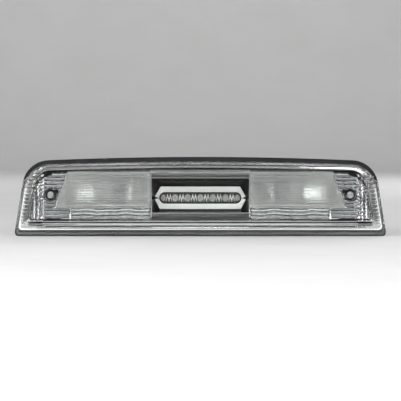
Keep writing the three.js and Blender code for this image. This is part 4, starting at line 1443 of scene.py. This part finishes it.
def from_cad(rows, side="", body="lamp"):
    for name, node, edge, material, slot, segments in rows:
        name, node = name.format(side), node.format(side)
        piece(name, bevelled(node, edge, segments), M[material], node, slot, body)


def small_parts():
    for side, _ in SIDES:
        from_cad(ON_HOLDERS, side, f"bulb_holder_{side}_body")
        from_cad(ON_BOTH_SIDES, side)
    from_cad(IN_THE_MIDDLE)
    for colour in ("red", "black"):
        node = frame["nodes"][f"lead_{colour}"]
        node.data.materials.clear()
        node.data.materials.append(M[f"{colour}_wire"])


# ---------- stage, light and camera


def floor():
    """A sheet of pale paper: flat under the lamp, swept up well behind it."""
    level = cad_bounds[0][2] - 0.0001
    front, back, bend, high, half_width = -5.0, 3.4, 1.2, 4.0, 6.0
    turn = arc(back, level + bend, bend, -math.pi / 2, 0, 17).tolist()
    profile = [(front, level), *turn, (back + bend, level + high)]
    points = [(x, y, z) for y, z in profile for x in (-half_width, half_width)]
    faces = [(2 * k, 2 * k + 1, 2 * k + 3, 2 * k + 2) for k in range(len(profile) - 1)]
    data = bpy.data.meshes.new("floor")
    data.from_pydata(points, [], faces)
    smooth(data, 40)
    n = Nodes("floor_paper").set(Roughness=0.9, Specular_IOR_Level=0.2)
    n.tint(n.noise(8, 3), (0.66, 0.66, 0.655), (0.69, 0.69, 0.69))
    new_object("floor", data, n.material)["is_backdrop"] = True


def softbox(name, at, aim, size, power):
    light = bpy.data.lights.new(name, "AREA")
    light.shape = "RECTANGLE"
    light.size, light.size_y = size
    light.energy = power
    made = bpy.data.objects.new(name, light)
    made.location = at
    made.rotation_euler = (Vector(aim) - Vector(at)).to_track_quat("-Z", "Y").to_euler()
    made.visible_camera = False
    bpy.context.scene.collection.objects.link(made)


def world():
    """Pale behind the lamp, darker where the camera stands, so that bright metal has contrast."""
    made = bpy.data.worlds.new("studio")
    bpy.context.scene.world = made
    made.use_nodes = True
    tree = made.node_tree
    background = tree.nodes["Background"]
    place = tree.nodes.new("ShaderNodeTexCoord").outputs["Generated"]
    split = tree.nodes.new("ShaderNodeSeparateXYZ")
    tree.links.new(place, split.inputs[0])
    ramp = tree.nodes.new("ShaderNodeValToRGB")
    shift = tree.nodes.new("ShaderNodeMapRange")
    shift.inputs["From Min"].default_value = -1
    tree.links.new(split.outputs["Y"], shift.inputs["Value"])
    tree.links.new(shift.outputs["Result"], ramp.inputs["Fac"])
    ramp.color_ramp.elements[0].position = 0.46
    ramp.color_ramp.elements[0].color = (0.10, 0.10, 0.103, 1)
    ramp.color_ramp.elements[1].position = 0.66
    ramp.color_ramp.elements[1].color = (0.60, 0.60, 0.603, 1)
    tree.links.new(ramp.outputs["Color"], background.inputs["Color"])


def lights():
    aim = (0, 0, 0)
    softbox("key", (-1.7, -1.7, 0.55), aim, (1.1, 1.0), 78)
    softbox("fill", (1.8, -1.7, 0.5), aim, (0.9, 0.9), 55)
    softbox("top", (0, -0.5, 1.5), aim, (2.4, 0.25), 6)
    softbox("back", (0, 2.2, 2.2), (0, 4.0, 0.5), (2.4, 0.8), 24)
    softbox("rear", (0.9, 2.3, 1.3), aim, (1.2, 0.8), 16)
    softbox("front_high", (0, -2.4, 0.95), aim, (1.6, 0.7), 11)


def camera():
    data = bpy.data.cameras.new("camera")
    made = bpy.data.objects.new("camera", data)
    bpy.context.scene.collection.objects.link(made)
    distance, tilt = 3.0, math.radians(2)
    shown = 0.4812  # width of the view at the aim
    aim = Vector((0.0002, -0.005, -0.0066))
    data.sensor_width = 36
    data.lens = data.sensor_width * distance / shown
    made.location = aim + Vector((0, -math.cos(tilt), math.sin(tilt))) * distance
    made.rotation_euler = (aim - made.location).to_track_quat("-Z", "Y").to_euler()
    bpy.context.scene.camera = made


# ---------- the lamp

camera()
world()
lights()
floor()

gasket()
housing()
lens_seal()
outer_lens()
reflectors()
cargo_lenses()
bulbs()
surround()
bezel()
brake_optic()
leds()
screws()
small_parts()

bpy.context.scene.view_settings.view_transform = "Standard"

visual_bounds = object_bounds()
as_lists = lambda box: [list(map(float, corner)) for corner in box]
{"cad": as_lists(cad_bounds), "visual": as_lists(visual_bounds)}
